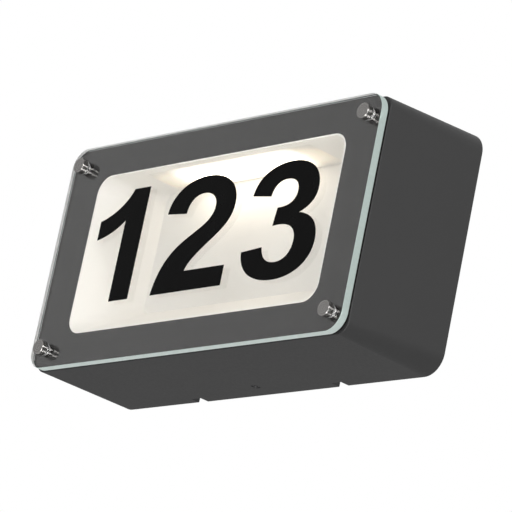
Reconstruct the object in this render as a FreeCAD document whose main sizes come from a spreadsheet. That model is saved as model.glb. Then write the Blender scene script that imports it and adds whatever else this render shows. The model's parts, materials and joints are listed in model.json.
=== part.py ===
"""Illuminated house number sign: a lit wall light behind a glass sheet with three digits.

Frame: millimetres, +Z up, the wall is the plane Y = 0 and the front looks along -Y. The origin is on the
wall, level with the middle of the glass. Distances "out" are measured from the wall towards the viewer.
"""
import FreeCAD, Part
import math
import os
import re

import Sketcher

doc = FreeCAD.newDocument("HouseNumberSign")
sheet = doc.addObject("Spreadsheet::Sheet", "Sizes")

# ---------------------------------------------------------------- driving dimensions
SIZES = (
    ("glass_width", 260, "front glass"),
    ("glass_height", 136, ""),
    ("glass_thick", 5, ""),
    ("glass_arris", 0.5, "ground edges of the glass"),
    ("corner_radius", 11, "rounded corners of the glass"),
    ("overall_depth", 75, "wall to front of the glass"),
    ("gasket_thick", 1, "sheet between glass and housing"),
    ("gasket_inset", 0.6, "gasket edge inside the glass edge"),
    ("housing_wall", 3, "housing casting"),
    ("housing_front", 3, "wall behind the glass"),
    ("wall_gap", 0.5, "housing back edge off the wall"),
    ("side_draft", 3.7, "housing is this much wider at each side at the wall"),
    ("top_rise", 4.6, "housing top is this much higher at the wall"),
    ("housing_corner", 7, "rounded corners of the housing front"),
    ("wall_corner", 12.5, "rounded corners of the housing at the wall"),
    ("frame_side", 25.5, "frame beside the window"),
    ("frame_above", 18.75, "frame above and below the window"),
    ("window_radius", 11, ""),
    ("screw_inset_x", 10.5, "glass screw centre from the glass edge"),
    ("screw_inset_z", 11.75, ""),
    ("stud_dia", 4, "threaded studs that carry the glass"),
    ("stud_depth", 11, "stud length behind the gasket"),
    ("sleeve_wall", 0.9, "nylon sleeve in the glass hole"),
    ("fit_gap", 0.1, "clearance of a sleeve or plate all round"),
    ("boss_dia", 10, "bosses behind the housing front"),
    ("boss_length", 9, ""),
    ("cap_dia", 9, "turned caps"),
    ("cap_height", 3.8, ""),
    ("cap_chamfer", 0.4, ""),
    ("cap_bore_depth", 2.4, "threaded bore of a cap"),
    ("cap_washer", 0.3, "clear washer under a cap"),
    ("washer_inset", 0.1, "washer edge inside the cap edge"),
    ("film_thick", 0.2, "digit film"),
    ("digit_height", 68.4, ""),
    ("digit_base", -32.5, "digit base line above the glass middle"),
    ("digit_one_left", -91.3, "left ends of the digits"),
    ("digit_two_left", -32.8, ""),
    ("digit_three_left", 38.7, ""),
    ("notch_pitch", 117, "drain notches in the lower back edge"),
    ("notch_width", 7, ""),
    ("notch_depth", 6, ""),
    ("tray_gap", 0.2, "tray collar in the window"),
    ("tray_rim", 1, "rim of the collar"),
    ("tray_depth", 33.1, "recess depth behind the glass"),
    ("tray_wall", 2, ""),
    ("tray_back_width", 161.8, "back panel of the recess"),
    ("tray_back_low", 26.2, "its lower edge below the glass middle"),
    ("tray_back_radius", 6, ""),
    ("flange_thick", 2, "tray flange"),
    ("flange_side", 9, "flange past the window at the sides"),
    ("flange_above", 12.5, "flange past the window above and below"),
    ("seal_thick", 1.2, "seal between tray flange and housing"),
    ("seal_width", 4, ""),
    ("tray_screw_side", 18.5, "tray screws inside the flange ends"),
    ("tray_screw_inset", 4.5, "tray screws inside the flange edge above and below"),
    ("lamp_width", 137, "diffuser in the ceiling of the recess"),
    ("lamp_length", 27.3, ""),
    ("lamp_start", 5.3, "diffuser behind the glass"),
    ("lamp_ledge", 3, "ledge that holds the diffuser"),
    ("lamp_height", 7, "lamp box above the tray ceiling"),
    ("lamp_wall", 2, "rear wall of the lamp box"),
    ("lamp_end", 8.5, "solid ends of the lamp box past the diffuser"),
    ("diffuser_thick", 1.9, ""),
    ("board_thick", 1.6, "circuit boards"),
    ("board_tab", 8, "end of the light board past the lamp box"),
    ("plate_thick", 2, "heat plate on the light board"),
    ("chip_count", 14, "light-emitting chips"),
    ("chip_length", 3.5, ""),
    ("chip_width", 2.8, ""),
    ("chip_thick", 0.8, ""),
    ("chip_margin", 4, "end of the chip row inside the ledge"),
    ("small_screw", 3, "thread of the small screws"),
    ("small_head", 5.5, ""),
    ("small_head_thick", 2.2, ""),
    ("hex_key", 2.5, "across corners of the hexagon sockets"),
    ("thread_length", 4.6, "small screw in its boss"),
    ("screw_short", 1, "screw end short of the far face"),
    ("bore_end", 0.6, "housing front left over a tray screw's bore"),
    ("driver_width", 62, "driver on the back of the tray"),
    ("driver_low", -14, ""),
    ("driver_height", 36, ""),
    ("driver_thick", 20, ""),
    ("driver_wall", 1.8, ""),
    ("circuit_rise", 2, "driver board above the case floor"),
    ("coil_width", 14, "parts on the driver board"),
    ("coil_tall", 13, ""),
    ("coil_thick", 9, ""),
    ("can_dia", 9, ""),
    ("can_length", 10, ""),
    ("ear_length", 7, "screw ears of driver and plug"),
    ("ear_thick", 2, ""),
    ("post_height", 5, "posts on the back of the tray"),
    ("post_dia", 7, ""),
    ("upper_ear", 18, "upper driver ear from its left edge"),
    ("lower_ear", 44, "lower driver ear from its left edge"),
    ("plug_left", -50, "supply plug on the back of the tray"),
    ("plug_width", 32, ""),
    ("plug_low", -16, ""),
    ("plug_height", 14, ""),
    ("plug_gap", 2, "plug off the socket face"),
    ("pin_dia", 2, ""),
    ("pin_length", 9, "pin past the plug face"),
    ("pin_pitch", 10, ""),
    ("pin_gap", 0.1, "pin in its contact"),
    ("contact_wall", 0.6, "brass contact tube"),
    ("socket_thick", 12, "supply socket on the bracket"),
    ("socket_side", 3, "socket past the plug at each side"),
    ("socket_above", 5, "socket past the plug at the top"),
    ("clamp_dia", 3.6, "clamp screws for the supply wires"),
    ("clamp_inset", 3.5, "clamp screws below the socket top"),
    ("wire_bore", 2.6, "supply wire holes"),
    ("bracket_sheet", 2, "bracket plate"),
    ("bracket_width", 200, ""),
    ("bracket_margin", 12, "plate below the top and above the bottom of the glass"),
    ("bracket_radius", 4, ""),
    ("hook_pitch", 140, "top hooks"),
    ("hook_width", 24, ""),
    ("hook_reach", 22, "hooks and lock tab out from the wall"),
    ("hook_drop", 6, "upper face of the hooks below the glass top"),
    ("hang_gap", 0.3, "housing rib above its hook"),
    ("rib_width", 10, "hanging ribs in the housing"),
    ("rib_root", 2.25, "rib sunk into the housing top, from its outside"),
    ("tab_width", 28, "lock tab"),
    ("tab_rise", 8, "lower face of the lock tab above the glass bottom"),
    ("slot_pitch_x", 170, "wall screw slots"),
    ("slot_pitch_z", 60, ""),
    ("slot_width", 5.5, ""),
    ("slot_length", 12, ""),
    ("slot_flat", 0.01, "half the flat in the middle of a slot's end"),
    ("entry_height", 24, "cable entry above the glass middle"),
    ("entry_dia", 14, ""),
    ("grommet_flange", 19, ""),
    ("grommet_lip", 2, ""),
    ("grommet_cone", 7, ""),
    ("grommet_tip", 10, ""),
    ("grommet_bore", 7, ""),
    ("lock_out", 13.6, "lock screw from the wall"),
    ("lock_dia", 5, "lock screw bore"),
    ("lock_thread_gap", 0.08, "running clearance of the lock screw"),
    ("lock_recess", 0.5, "screw end inside the housing underside"),
    ("lock_tip_gap", 0.3, "screw tip below the lock tab"),
    ("lock_boss_dia", 12, ""),
    ("lock_boss_height", 4, ""),
    ("earth_x", -92, "housing earth screw"),
    ("earth_out", 26, ""),
    ("earth_boss", 8, ""),
    ("earth_screw", 4, "earth screw thread"),
    ("earth_head", 7, ""),
    ("tag_dia", 8, "ring tag under the earth screw and its boss"),
    ("tag_thick", 0.8, ""),
    ("tag_tongue", 5, "its tongue, where the lead is crimped"),
    ("bracket_earth_x", 45, "bracket earth screw"),
    ("bracket_earth_z", -38, ""),
    ("lead_dia", 1.8, "insulated leads"),
    ("lead_level", 6.5, "leads above the driver lid"),
    ("lead_pitch", 5, "supply leads apart"),
    ("lead_bow", 1.5, "supply leads bow towards the wall"),
    ("lead_bow_run", 8, "bow on either side of its middle"),
    ("earth_lead_run", 16, "earth lead straight out of the plug"),
    ("earth_lead_rise", 14, "earth lead straight above its tag"),
    ("led_lead_pitch", 3, "light leads apart"),
    ("led_lead_gap", 0.7, "light leads past the heat plate"),
    ("clip_length", 8, "lead clip"),
)

for row, (alias, number, note) in enumerate(SIZES, start=1):
    sheet.set(f"A{row}", alias)
    sheet.set(f"B{row}", str(number))
    sheet.setAlias(f"B{row}", alias)
    sheet.set(f"C{row}", note)
doc.recompute()


def bound(text):
    """Sheet names in a formula, written out in full."""
    return re.sub(r"[a-z]+(_[a-z]+)+", lambda name: "Sizes." + name.group(0), str(text))


def value(text):
    """The number that a formula of sheet names gives."""
    return float(sheet.evalExpression(bound(text)))


def bind(feature, path, text):
    feature.setExpression(path, bound(text))


# ---------------------------------------------------------------- places worked out from the dimensions
WINDOW_WIDTH = "(glass_width - 2 * frame_side)"
WINDOW_HEIGHT = "(glass_height - 2 * frame_above)"
GLASS_BACK = "(overall_depth - glass_thick)"
FRONT_FACE = "(overall_depth - glass_thick - gasket_thick)"
FRONT_INSIDE = "(overall_depth - glass_thick - gasket_thick - housing_front)"
SCREW_X = "(glass_width / 2 - screw_inset_x)"
SCREW_Z = "(glass_height / 2 - screw_inset_z)"
STUD_HOLE = "(stud_dia + 2 * sleeve_wall + 2 * fit_gap)"
FLANGE_FRONT = f"({FRONT_INSIDE} - seal_thick)"
FLANGE_BACK = f"({FLANGE_FRONT} - flange_thick)"
FLANGE_WIDTH = f"({WINDOW_WIDTH} + 2 * flange_side)"
FLANGE_HEIGHT = f"({WINDOW_HEIGHT} + 2 * flange_above)"
TRAY_SCREW_X = f"({FLANGE_WIDTH} / 2 - tray_screw_side)"
TRAY_SCREW_Z = f"({FLANGE_HEIGHT} / 2 - tray_screw_inset)"
RIM_OUT = f"({GLASS_BACK} - tray_gap)"
MOUTH_WIDTH = f"({WINDOW_WIDTH} - 2 * tray_gap - 2 * tray_rim)"
CEILING = f"({WINDOW_HEIGHT} / 2 - tray_gap - tray_rim)"
PANEL_FRONT = f"({GLASS_BACK} - tray_depth)"
PANEL_BACK = f"({PANEL_FRONT} - tray_wall)"
LAMP_OUT = f"({GLASS_BACK} - lamp_start - lamp_length / 2)"
LAMP_BACK = f"({GLASS_BACK} - lamp_start - lamp_length - lamp_wall)"
LAMP_BOX_DEPTH = f"({FLANGE_BACK} - {LAMP_BACK})"
LAMP_BOX_OUT = f"(({FLANGE_BACK} + {LAMP_BACK}) / 2)"
SLOT_BACK = f"({LAMP_BACK} + lamp_wall + lamp_ledge)"
SLOT_FRONT = f"({FLANGE_BACK} - lamp_ledge)"
SLOT_OUT = f"(({SLOT_BACK} + {SLOT_FRONT}) / 2)"
LAMP_TOP = f"({CEILING} + tray_wall + lamp_height)"
LAMP_BOX = "(lamp_width + 2 * lamp_end)"
FLOOR_INSIDE = "(glass_height / 2 - housing_wall)"
POST_OUT = f"({PANEL_BACK} - post_height)"
SOCKET_FACE = "(bracket_sheet + socket_thick)"
PLUG_FACE = f"({SOCKET_FACE} + plug_gap)"
PLUG_THICK = f"({PANEL_BACK} - {PLUG_FACE})"
PLUG_MIDDLE = "(plug_left + plug_width / 2)"
PLUG_LEVEL = "(plug_low + plug_height / 2)"
BRACKET_HEIGHT = "(glass_height - 2 * bracket_margin)"
HOOK_TOP = "(glass_height / 2 - hook_drop)"
TAB_LOW = "(tab_rise - glass_height / 2)"
LEAD_X = f"({LAMP_BOX} / 2 + led_lead_gap + lead_dia * 3 / 2 + led_lead_pitch - lead_dia)"
DRIVER_LEFT = f"({LEAD_X} + 3 * driver_wall - driver_width)"
TIP_TOP = f"({TAB_LOW} - lock_tip_gap)"


# ---------------------------------------------------------------- modelling helpers
def new_body(label):
    body = doc.addObject("PartDesign::Body", label)
    body.Label = label
    return body


def new_sketch(body, name, plane="XZ_Plane", at=("0", "0", "0")):
    """A sketch on an origin plane of its body; `at` moves it along the plane's X, Y and normal."""
    sketch = body.newObject("Sketcher::SketchObject", name)
    support = next(item for item in body.Origin.OriginFeatures if item.Role == plane)
    sketch.AttachmentSupport = [(support, "")]
    sketch.MapMode = "FlatFace"
    for axis, text in zip("xyz", at):
        bind(sketch, f"AttachmentOffset.Base.{axis}", text)
    return sketch


def add_datum(sketch, name, text, *constraint):
    """A driving constraint of a sketch, named and bound to a formula."""
    index = sketch.addConstraint(Sketcher.Constraint(*constraint, value(text)))
    sketch.renameConstraint(index, name)
    bind(sketch, f"Constraints.{name}", text)


def draw_rectangle(sketch, width, height, radius=None):
    """A rectangle about the sketch's origin, with rounded corners where a radius is given."""
    half_w, half_h = value(width) / 2, value(height) / 2
    r = value(radius) if radius else 0
    corners = [(half_w - r, half_h - r), (r - half_w, half_h - r), (r - half_w, r - half_h),
               (half_w - r, r - half_h)]
    up = FreeCAD.Vector(0, 0, 1)
    lines, arcs = [], []
    for turn in range(4):
        (x0, y0), (x1, y1) = corners[turn], corners[(turn + 1) % 4]
        push = FreeCAD.Vector(math.cos(math.radians(90 * turn + 90)), math.sin(math.radians(90 * turn + 90)),
                              0) * r
        start, end = FreeCAD.Vector(x0, y0, 0) + push, FreeCAD.Vector(x1, y1, 0) + push
        lines.append(sketch.addGeometry(Part.LineSegment(start, end), False))
        if radius:
            circle = Part.Circle(FreeCAD.Vector(x1, y1, 0), up, r)
            begin = math.radians(90 * turn + 90)
            arcs.append(sketch.addGeometry(Part.ArcOfCircle(circle, begin, begin + math.pi / 2), False))
    for turn in range(4):
        after = lines[(turn + 1) % 4]
        if radius:
            sketch.addConstraint(Sketcher.Constraint("Tangent", lines[turn], 2, arcs[turn], 1))
            sketch.addConstraint(Sketcher.Constraint("Tangent", arcs[turn], 2, after, 1))
        else:
            sketch.addConstraint(Sketcher.Constraint("Coincident", lines[turn], 2, after, 1))
        sketch.addConstraint(Sketcher.Constraint("Horizontal" if turn % 2 == 0 else "Vertical", lines[turn]))
    for arc in arcs[1:]:
        sketch.addConstraint(Sketcher.Constraint("Equal", arcs[0], arc))
    sketch.addConstraint(Sketcher.Constraint("Symmetric", lines[0], 1, lines[2], 1, -1, 1))
    if radius:
        add_datum(sketch, "radius", radius, "Radius", arcs[0])
    add_datum(sketch, "width", width, "DistanceX", lines[1], 1, lines[3], 1)
    add_datum(sketch, "height", height, "DistanceY", lines[2], 1, lines[0], 1)


def draw_circles(sketch, diameter, spots):
    """Equal circles at spots (x, y) written as formulas."""
    first = None
    for number, (x, y) in enumerate(spots):
        centre = FreeCAD.Vector(value(x), value(y), 0)
        circle = sketch.addGeometry(Part.Circle(centre, FreeCAD.Vector(0, 0, 1), value(diameter) / 2), False)
        for kind, text, axis in (("DistanceX", x, -2), ("DistanceY", y, -1)):
            place = value(text)
            if abs(place) < 1e-9:
                sketch.addConstraint(Sketcher.Constraint("PointOnObject", circle, 3, axis))
            elif place > 0:
                add_datum(sketch, f"{kind}_{number}", text, kind, -1, 1, circle, 3)
            else:
                add_datum(sketch, f"{kind}_{number}", f"-({text})", kind, circle, 3, -1, 1)
        if first is None:
            first = circle
            add_datum(sketch, "diameter", diameter, "Diameter", circle)
        else:
            sketch.addConstraint(Sketcher.Constraint("Equal", first, circle))


def grow(body, sketch, length, kind="Pad", backwards=False):
    """Pad or pocket a sketch by a length along the plane's normal, or against it."""
    feature = body.newObject(f"PartDesign::{kind}", f"{sketch.Name}_{kind}")
    feature.Profile = sketch
    feature.Reversed = backwards if kind == "Pad" else not backwards
    bind(feature, "Length", length)
    return feature


def plate(body, name, width, height, start, thick, at=("0", "0"), radius=None, kind="Pad"):
    """A rectangular pad or pocket in the plane of the wall, from `start` outwards by `thick`."""
    sketch = new_sketch(body, name, at=(*at, start))
    draw_rectangle(sketch, width, height, radius)
    return grow(body, sketch, thick, kind)


def bosses(body, name, diameter, spots, start, length, kind="Pad"):
    """Round bosses or bores with their axis along Y, from `start` outwards by `length`."""
    sketch = new_sketch(body, name, at=("0", "0", start))
    draw_circles(sketch, diameter, spots)
    return grow(body, sketch, length, kind)


def block(body, name, width, depth, bottom, tall, at, kind="Pad"):
    """A pad or pocket seen from above: width along X, depth along Y, from `bottom` up; `at` is (x, out)."""
    sketch = new_sketch(body, name, "XY_Plane", (at[0], f"-({at[1]})", bottom))
    draw_rectangle(sketch, width, depth)
    return grow(body, sketch, tall, kind)


def loft(body, name, sections, kind):
    """A straight-sided loft through rounded rectangles (width, height, radius, middle height, out)."""
    sketches = []
    for number, (width, height, radius, middle, out) in enumerate(sections):
        sketch = new_sketch(body, f"{name}_{number}", at=("0", middle, out))
        draw_rectangle(sketch, width, height, radius)
        sketches.append(sketch)
    feature = body.newObject(f"PartDesign::{kind}Loft", name)
    feature.Profile = sketches[0]
    feature.Sections = sketches[1:]
    feature.Ruled = True
    return feature


def four(x, y):
    return [(x, y), (f"-{x}", y), (f"-{x}", f"-{y}"), (x, f"-{y}")]


def cylinder(name, diameter, length, at, towards=(0, -1, 0)):
    """A cylinder from the point `at` (x, out, z formulas) along a direction."""
    feature = doc.addObject("Part::Cylinder", name)
    turn = FreeCAD.Rotation(FreeCAD.Vector(0, 0, 1), FreeCAD.Vector(*towards))
    feature.Placement = FreeCAD.Placement(FreeCAD.Vector(), turn)
    bind(feature, "Radius", f"({diameter}) / 2")
    bind(feature, "Height", length)
    for axis, text in zip("xyz", (at[0], f"-({at[1]})", at[2])):
        bind(feature, f"Placement.Base.{axis}", text)
    return feature


def cuboid(name, corner, lengths):
    """A box from its corner nearest the wall (x, out, z), with lengths along X, outwards and Z."""
    feature = doc.addObject("Part::Box", name)
    for size, text in zip(("Length", "Width", "Height"), lengths):
        bind(feature, size, text)
    place = (corner[0], f"-({corner[1]}) - ({lengths[1]})", corner[2])
    for axis, text in zip("xyz", place):
        bind(feature, f"Placement.Base.{axis}", text)
    return feature


def fused(name, shapes):
    feature = doc.addObject("Part::MultiFuse", name)
    feature.Shapes = shapes
    return feature


def cut(name, base, tool):
    feature = doc.addObject("Part::Cut", name)
    feature.Base = base
    feature.Tool = tool
    return feature


def group(label, members):
    """Separate solids that share one node."""
    feature = doc.addObject("Part::Compound", label)
    feature.Label = label
    feature.Links = members
    return feature


def socket_screw(name, at, towards, thread, length, head, head_thick):
    """A cap screw: `at` is under its head and `towards` points along the thread."""
    back = tuple(-part for part in towards)
    shank = cylinder(f"{name}_shank", thread, length, at, towards)
    top = cylinder(f"{name}_head", head, head_thick, at, back)
    key = doc.addObject("Part::Prism", f"{name}_key")
    key.Polygon = 6
    key.Placement = FreeCAD.Placement(FreeCAD.Vector(), shank.Placement.Rotation)
    bind(key, "Circumradius", "hex_key / 2")
    bind(key, "Height", f"({head_thick}) / 2")
    across = [f"({head_thick}) * ({part})" for part in back]
    for axis, text, shift in zip("xyz", (at[0], f"-({at[1]})", at[2]), across):
        bind(key, f"Placement.Base.{axis}", f"{text} + {shift}")
    return cut(name, fused(f"{name}_blank", [shank, top]), key)


nodes = []

# ---------------------------------------------------------------- housing
TAPER = f"({FRONT_FACE} - wall_gap)"


def section(out, inset):
    """Outline of the housing at a distance out from the wall, set in by a wall."""
    share = f"(({FRONT_FACE} - {out}) / {TAPER})"
    width = f"glass_width + 2 * side_draft * {share} - 2 * {inset}"
    height = f"glass_height + top_rise * {share} - 2 * {inset}"
    radius = f"housing_corner + (wall_corner - housing_corner) * {share} - {inset}"
    return (width, height, radius, f"top_rise * {share} / 2", out)


housing = new_body("housing")
loft(housing, "outside", [section("wall_gap", "0"), section(FRONT_FACE, "0")], "Additive")
loft(housing, "inside", [section("wall_gap", "housing_wall"), section(FRONT_INSIDE, "housing_wall")],
     "Subtractive")
plate(housing, "window", WINDOW_WIDTH, WINDOW_HEIGHT, FRONT_INSIDE, "housing_front",
      radius="window_radius", kind="Pocket")
bosses(housing, "glass_bosses", "boss_dia", four(SCREW_X, SCREW_Z), f"{FRONT_INSIDE} - boss_length",
       "boss_length")
bosses(housing, "stud_bores", "stud_dia", four(SCREW_X, SCREW_Z), f"{FRONT_FACE} - stud_depth", "stud_depth",
       "Pocket")
TRAY_SPOTS = four(TRAY_SCREW_X, TRAY_SCREW_Z) + [("0", f"-{TRAY_SCREW_Z}")]
bosses(housing, "tray_posts", "post_dia", TRAY_SPOTS, FLANGE_FRONT, "seal_thick")
bosses(housing, "tray_bores", "small_screw", TRAY_SPOTS, FLANGE_FRONT,
       "seal_thick + housing_front - bore_end", "Pocket")
RIB_TOP = "(glass_height / 2 + top_rise - rib_root)"
for number, side in enumerate((-1, 1)):
    plate(housing, f"rib_{number}", "rib_width", f"{RIB_TOP} - {HOOK_TOP} - hang_gap", "wall_gap",
          "hook_reach",
          at=(f"{side} * hook_pitch / 2", f"({RIB_TOP} + {HOOK_TOP} + hang_gap) / 2"))
    plate(housing, f"notch_{number}", "notch_width", "2 * housing_wall", "wall_gap", "notch_depth",
          at=(f"{side} * notch_pitch / 2", "-glass_height / 2"), kind="Pocket")


def floor_boss(name, x, out, diameter, tall, bore):
    """A boss that stands on the floor of the housing."""
    sketch = new_sketch(housing, name, "XY_Plane", (x, f"-{out}", f"-{FLOOR_INSIDE} - housing_wall / 2"))
    draw_circles(sketch, diameter, [("0", "0")])
    grow(housing, sketch, f"{tall} + housing_wall / 2")
    hole = new_sketch(housing, f"{name}_bore", "XY_Plane", (x, f"-{out}", f"-{FLOOR_INSIDE} + {tall}"))
    draw_circles(hole, bore, [("0", "0")])
    return hole


lock_hole = floor_boss("lock_boss", "0", "lock_out", "lock_boss_dia", "lock_boss_height", "lock_dia")
grow(housing, lock_hole, "2 * housing_wall + lock_boss_height", "Pocket", backwards=True)
earth_hole = floor_boss("earth_post", "earth_x", "earth_out", "tag_dia", "earth_boss", "earth_screw")
grow(housing, earth_hole, "earth_boss", "Pocket", backwards=True)
nodes.append(housing)

# ---------------------------------------------------------------- glass, its gasket and what holds it
glass = new_body("glass_panel")
glass_sheet = plate(glass, "sheet_outline", "glass_width", "glass_height", GLASS_BACK, "glass_thick",
                    radius="corner_radius")
doc.recompute()
rim_edges = [f"Edge{number}" for number, edge in enumerate(glass_sheet.Shape.Edges, start=1)
             if edge.BoundBox.YLength < 1e-6]
arris = glass.newObject("PartDesign::Chamfer", "arris")
arris.Base = (glass_sheet, rim_edges)
bind(arris, "Size", "glass_arris")
bosses(glass, "holes", STUD_HOLE, four(SCREW_X, SCREW_Z), GLASS_BACK, "glass_thick", "Pocket")
nodes.append(glass)

gasket = new_body("glass_gasket")
plate(gasket, "gasket_outline", "glass_width - 2 * gasket_inset", "glass_height - 2 * gasket_inset",
      FRONT_FACE,
      "gasket_thick", radius="corner_radius - gasket_inset")
plate(gasket, "gasket_window", WINDOW_WIDTH, WINDOW_HEIGHT, FRONT_FACE, "gasket_thick",
      radius="window_radius", kind="Pocket")
bosses(gasket, "gasket_holes", STUD_HOLE, four(SCREW_X, SCREW_Z), FRONT_FACE, "gasket_thick", "Pocket")
nodes.append(gasket)


def cap_profile(name, at):
    """A turned cap: a cylinder with a chamfered front edge and a blind threaded bore."""
    x, z = at
    front = "overall_depth + cap_washer"
    straight = cylinder(f"{name}_skirt", "cap_dia", "cap_height - cap_chamfer", (x, front, z))
    cone = doc.addObject("Part::Cone", f"{name}_edge")
    cone.Placement = straight.Placement
    bind(cone, "Radius1", "cap_dia / 2")
    bind(cone, "Radius2", "cap_dia / 2 - cap_chamfer")
    bind(cone, "Height", "cap_chamfer")
    for axis, text in zip("xyz", (x, f"-({front} + cap_height - cap_chamfer)", z)):
        bind(cone, f"Placement.Base.{axis}", text)
    bore = cylinder(f"{name}_bore", "stud_dia", "cap_bore_depth", (x, front, z))
    return cut(name, fused(f"{name}_blank", [straight, cone]), bore)


def ring(name, outer, inner, thick, at):
    solid = cylinder(f"{name}_outer", outer, thick, at)
    return cut(name, solid, cylinder(f"{name}_inner", inner, thick, at))


studs, sleeves, washers, caps = [], [], [], []
for number, (x, z) in enumerate(four(SCREW_X, SCREW_Z)):
    stud_start = f"{FRONT_FACE} - stud_depth"
    stud_length = "stud_depth + gasket_thick + glass_thick + cap_washer + cap_bore_depth"
    studs.append(cylinder(f"stud_{number}", "stud_dia", stud_length, (x, stud_start, z)))
    sleeves.append(ring(f"sleeve_{number}", "stud_dia + 2 * sleeve_wall", "stud_dia", "glass_thick",
                        (x, GLASS_BACK, z)))
    washers.append(ring(f"cap_ring_{number}", "cap_dia - 2 * washer_inset", "stud_dia", "cap_washer",
                        (x, "overall_depth", z)))
    caps.append(cap_profile(f"cap_{number}", (x, z)))
nodes.append(group("glass_studs", studs))
nodes.append(group("glass_sleeves", sleeves))
nodes.append(group("cap_washers", washers))
nodes.append(group("screw_caps", caps))

# ---------------------------------------------------------------- digits
# Outlines in percent of the digit height: a pair is the end of a straight line, and three pairs are the two
# handles and the end of a curve.
PERCENT = 0.01
ONE = ((36.7, 100), ((31.5, 89.5), (18.5, 79.5), (0, 74.8)), (0, 58), ((14, 60.5), (25, 66), (32.7, 72.4)),
       (32.7, 0), (56.9, 0), (56.9, 100))
TWO = ((1.6, 70.9), ((3, 88), (20, 100), (44, 100)), ((68, 100), (84.8, 89), (84.8, 71.6)),
       ((84.8, 56), (72, 48.5), (58.2, 38.7)), ((46, 30), (39.5, 24.5), (37, 17.6)), (86.4, 17.6), (86.4, 0),
       (0, 0),
       ((2.5, 18), (10, 31), (23.1, 40.6)), ((40, 52.5), (60.8, 57), (60.8, 71.6)),
       ((60.8, 80), (53, 84.8), (43.1, 84.8)), ((33, 84.8), (26.5, 79), (25.6, 68.8)))
THREE = ((0.9, 74), ((3, 90), (19, 99.7), (40.9, 99.7)), ((63, 99.7), (78.2, 89.5), (78.2, 72.8)),
         ((78.2, 63), (71, 57), (60.4, 53.5)), ((75, 51), (85.5, 43), (85.5, 27.6)),
         ((85.5, 10), (68, -1.8), (43.3, -1.8)), ((19, -1.8), (2, 8), (0, 26)), (23.8, 27.8),
         ((25.5, 18.5), (32, 13.2), (42.8, 13.2)), ((53, 13.2), (60.4, 19.5), (60.4, 29.8)),
         ((60.4, 42), (49, 47), (31.6, 45)), (33.6, 60.4), ((46, 60), (54.2, 64), (54.2, 72.8)),
         ((54.2, 80), (48.5, 84.4), (38.9, 84.4)), ((30, 84.4), (24.3, 79.5), (23.1, 71.2)))


def digit(label, outline, left):
    """Film cut to a digit, stuck on the front of the glass."""
    scale = value("digit_height") * PERCENT
    front = value("overall_depth")

    def point(pair):
        return FreeCAD.Vector(value(left) + pair[0] * scale, -front, value("digit_base") + pair[1] * scale)

    start = point(outline[0])
    here = start
    edges = []
    for step in outline[1:] + (outline[0],):
        if isinstance(step[0], tuple):
            curve = Part.BezierCurve()
            curve.setPoles([here] + [point(pair) for pair in step])
            here = point(step[-1])
            edges.append(curve.toShape())
        else:
            edges.append(Part.LineSegment(here, point(step)).toShape())
            here = point(step)
    feature = doc.addObject("Part::Feature", label)
    feature.Label = label
    feature.Shape = Part.Face(Part.Wire(edges)).extrude(FreeCAD.Vector(0, -value("film_thick"), 0))
    return feature


nodes.append(digit("digit_1", ONE, "digit_one_left"))
nodes.append(digit("digit_2", TWO, "digit_two_left"))
nodes.append(digit("digit_3", THREE, "digit_three_left"))

# ---------------------------------------------------------------- reflector tray and its seal


def tray_section(out, skin):
    """Outline of the recess at a distance out, made larger by a skin."""
    share = f"(({RIM_OUT} - {out}) / ({RIM_OUT} - {PANEL_FRONT}))"
    width = f"{MOUTH_WIDTH} - ({MOUTH_WIDTH} - tray_back_width) * {share} + 2 * {skin}"
    height = f"2 * {CEILING} - ({CEILING} - tray_back_low) * {share} + 2 * {skin}"
    rim_radius = "(window_radius - tray_gap - tray_rim)"
    radius = f"{rim_radius} - ({rim_radius} - tray_back_radius) * {share} + {skin}"
    return (width, height, radius, f"({CEILING} - tray_back_low) * {share} / 2", out)


tray = new_body("reflector_tray")
back = tray_section(PANEL_FRONT, "tray_wall")[:4] + (PANEL_BACK,)
loft(tray, "tray_outside", [back, tray_section(FLANGE_BACK, "tray_wall")], "Additive")
plate(tray, "tray_flange", FLANGE_WIDTH, FLANGE_HEIGHT, FLANGE_BACK, "flange_thick", radius="corner_radius")
plate(tray, "tray_collar", f"{WINDOW_WIDTH} - 2 * tray_gap", f"{WINDOW_HEIGHT} - 2 * tray_gap", FLANGE_FRONT,
      f"{RIM_OUT} - {FLANGE_FRONT}", radius="window_radius - tray_gap")
block(tray, "lamp_box", LAMP_BOX, LAMP_BOX_DEPTH, f"{CEILING} + tray_wall / 2",
      "tray_wall / 2 + lamp_height",
      ("0", LAMP_BOX_OUT))
loft(tray, "tray_inside", [tray_section(PANEL_FRONT, "0"), tray_section(RIM_OUT, "0")], "Subtractive")
block(tray, "diffuser_seat", "lamp_width", "lamp_length", f"{CEILING} - tray_wall", "2 * tray_wall",
      ("0", LAMP_OUT), "Pocket")
block(tray, "lamp_slot", "lamp_width - 2 * lamp_ledge", f"{SLOT_FRONT} - {SLOT_BACK}", CEILING,
      "tray_wall + lamp_height", ("0", SLOT_OUT), "Pocket")
bosses(tray, "flange_holes", "small_screw + 4 * fit_gap", TRAY_SPOTS, FLANGE_BACK, "flange_thick", "Pocket")
EAR = "ear_length / 2"
DRIVER_SPOTS = [(f"{DRIVER_LEFT} + upper_ear", f"driver_low + driver_height + {EAR}"),
                (f"{DRIVER_LEFT} + lower_ear", f"driver_low - {EAR}")]
PLUG_SPOTS = [(f"plug_left - {EAR}", PLUG_LEVEL), (f"plug_left + plug_width + {EAR}", PLUG_LEVEL)]
bosses(tray, "rear_posts", "post_dia", DRIVER_SPOTS + PLUG_SPOTS, POST_OUT, "post_height")
bosses(tray, "rear_bores", "small_screw", DRIVER_SPOTS + PLUG_SPOTS, POST_OUT, "thread_length", "Pocket")
LAMP_SCREWS = [(f"({LAMP_BOX} - lamp_end) / 2", "0"), (f"-({LAMP_BOX} - lamp_end) / 2", "0")]
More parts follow.
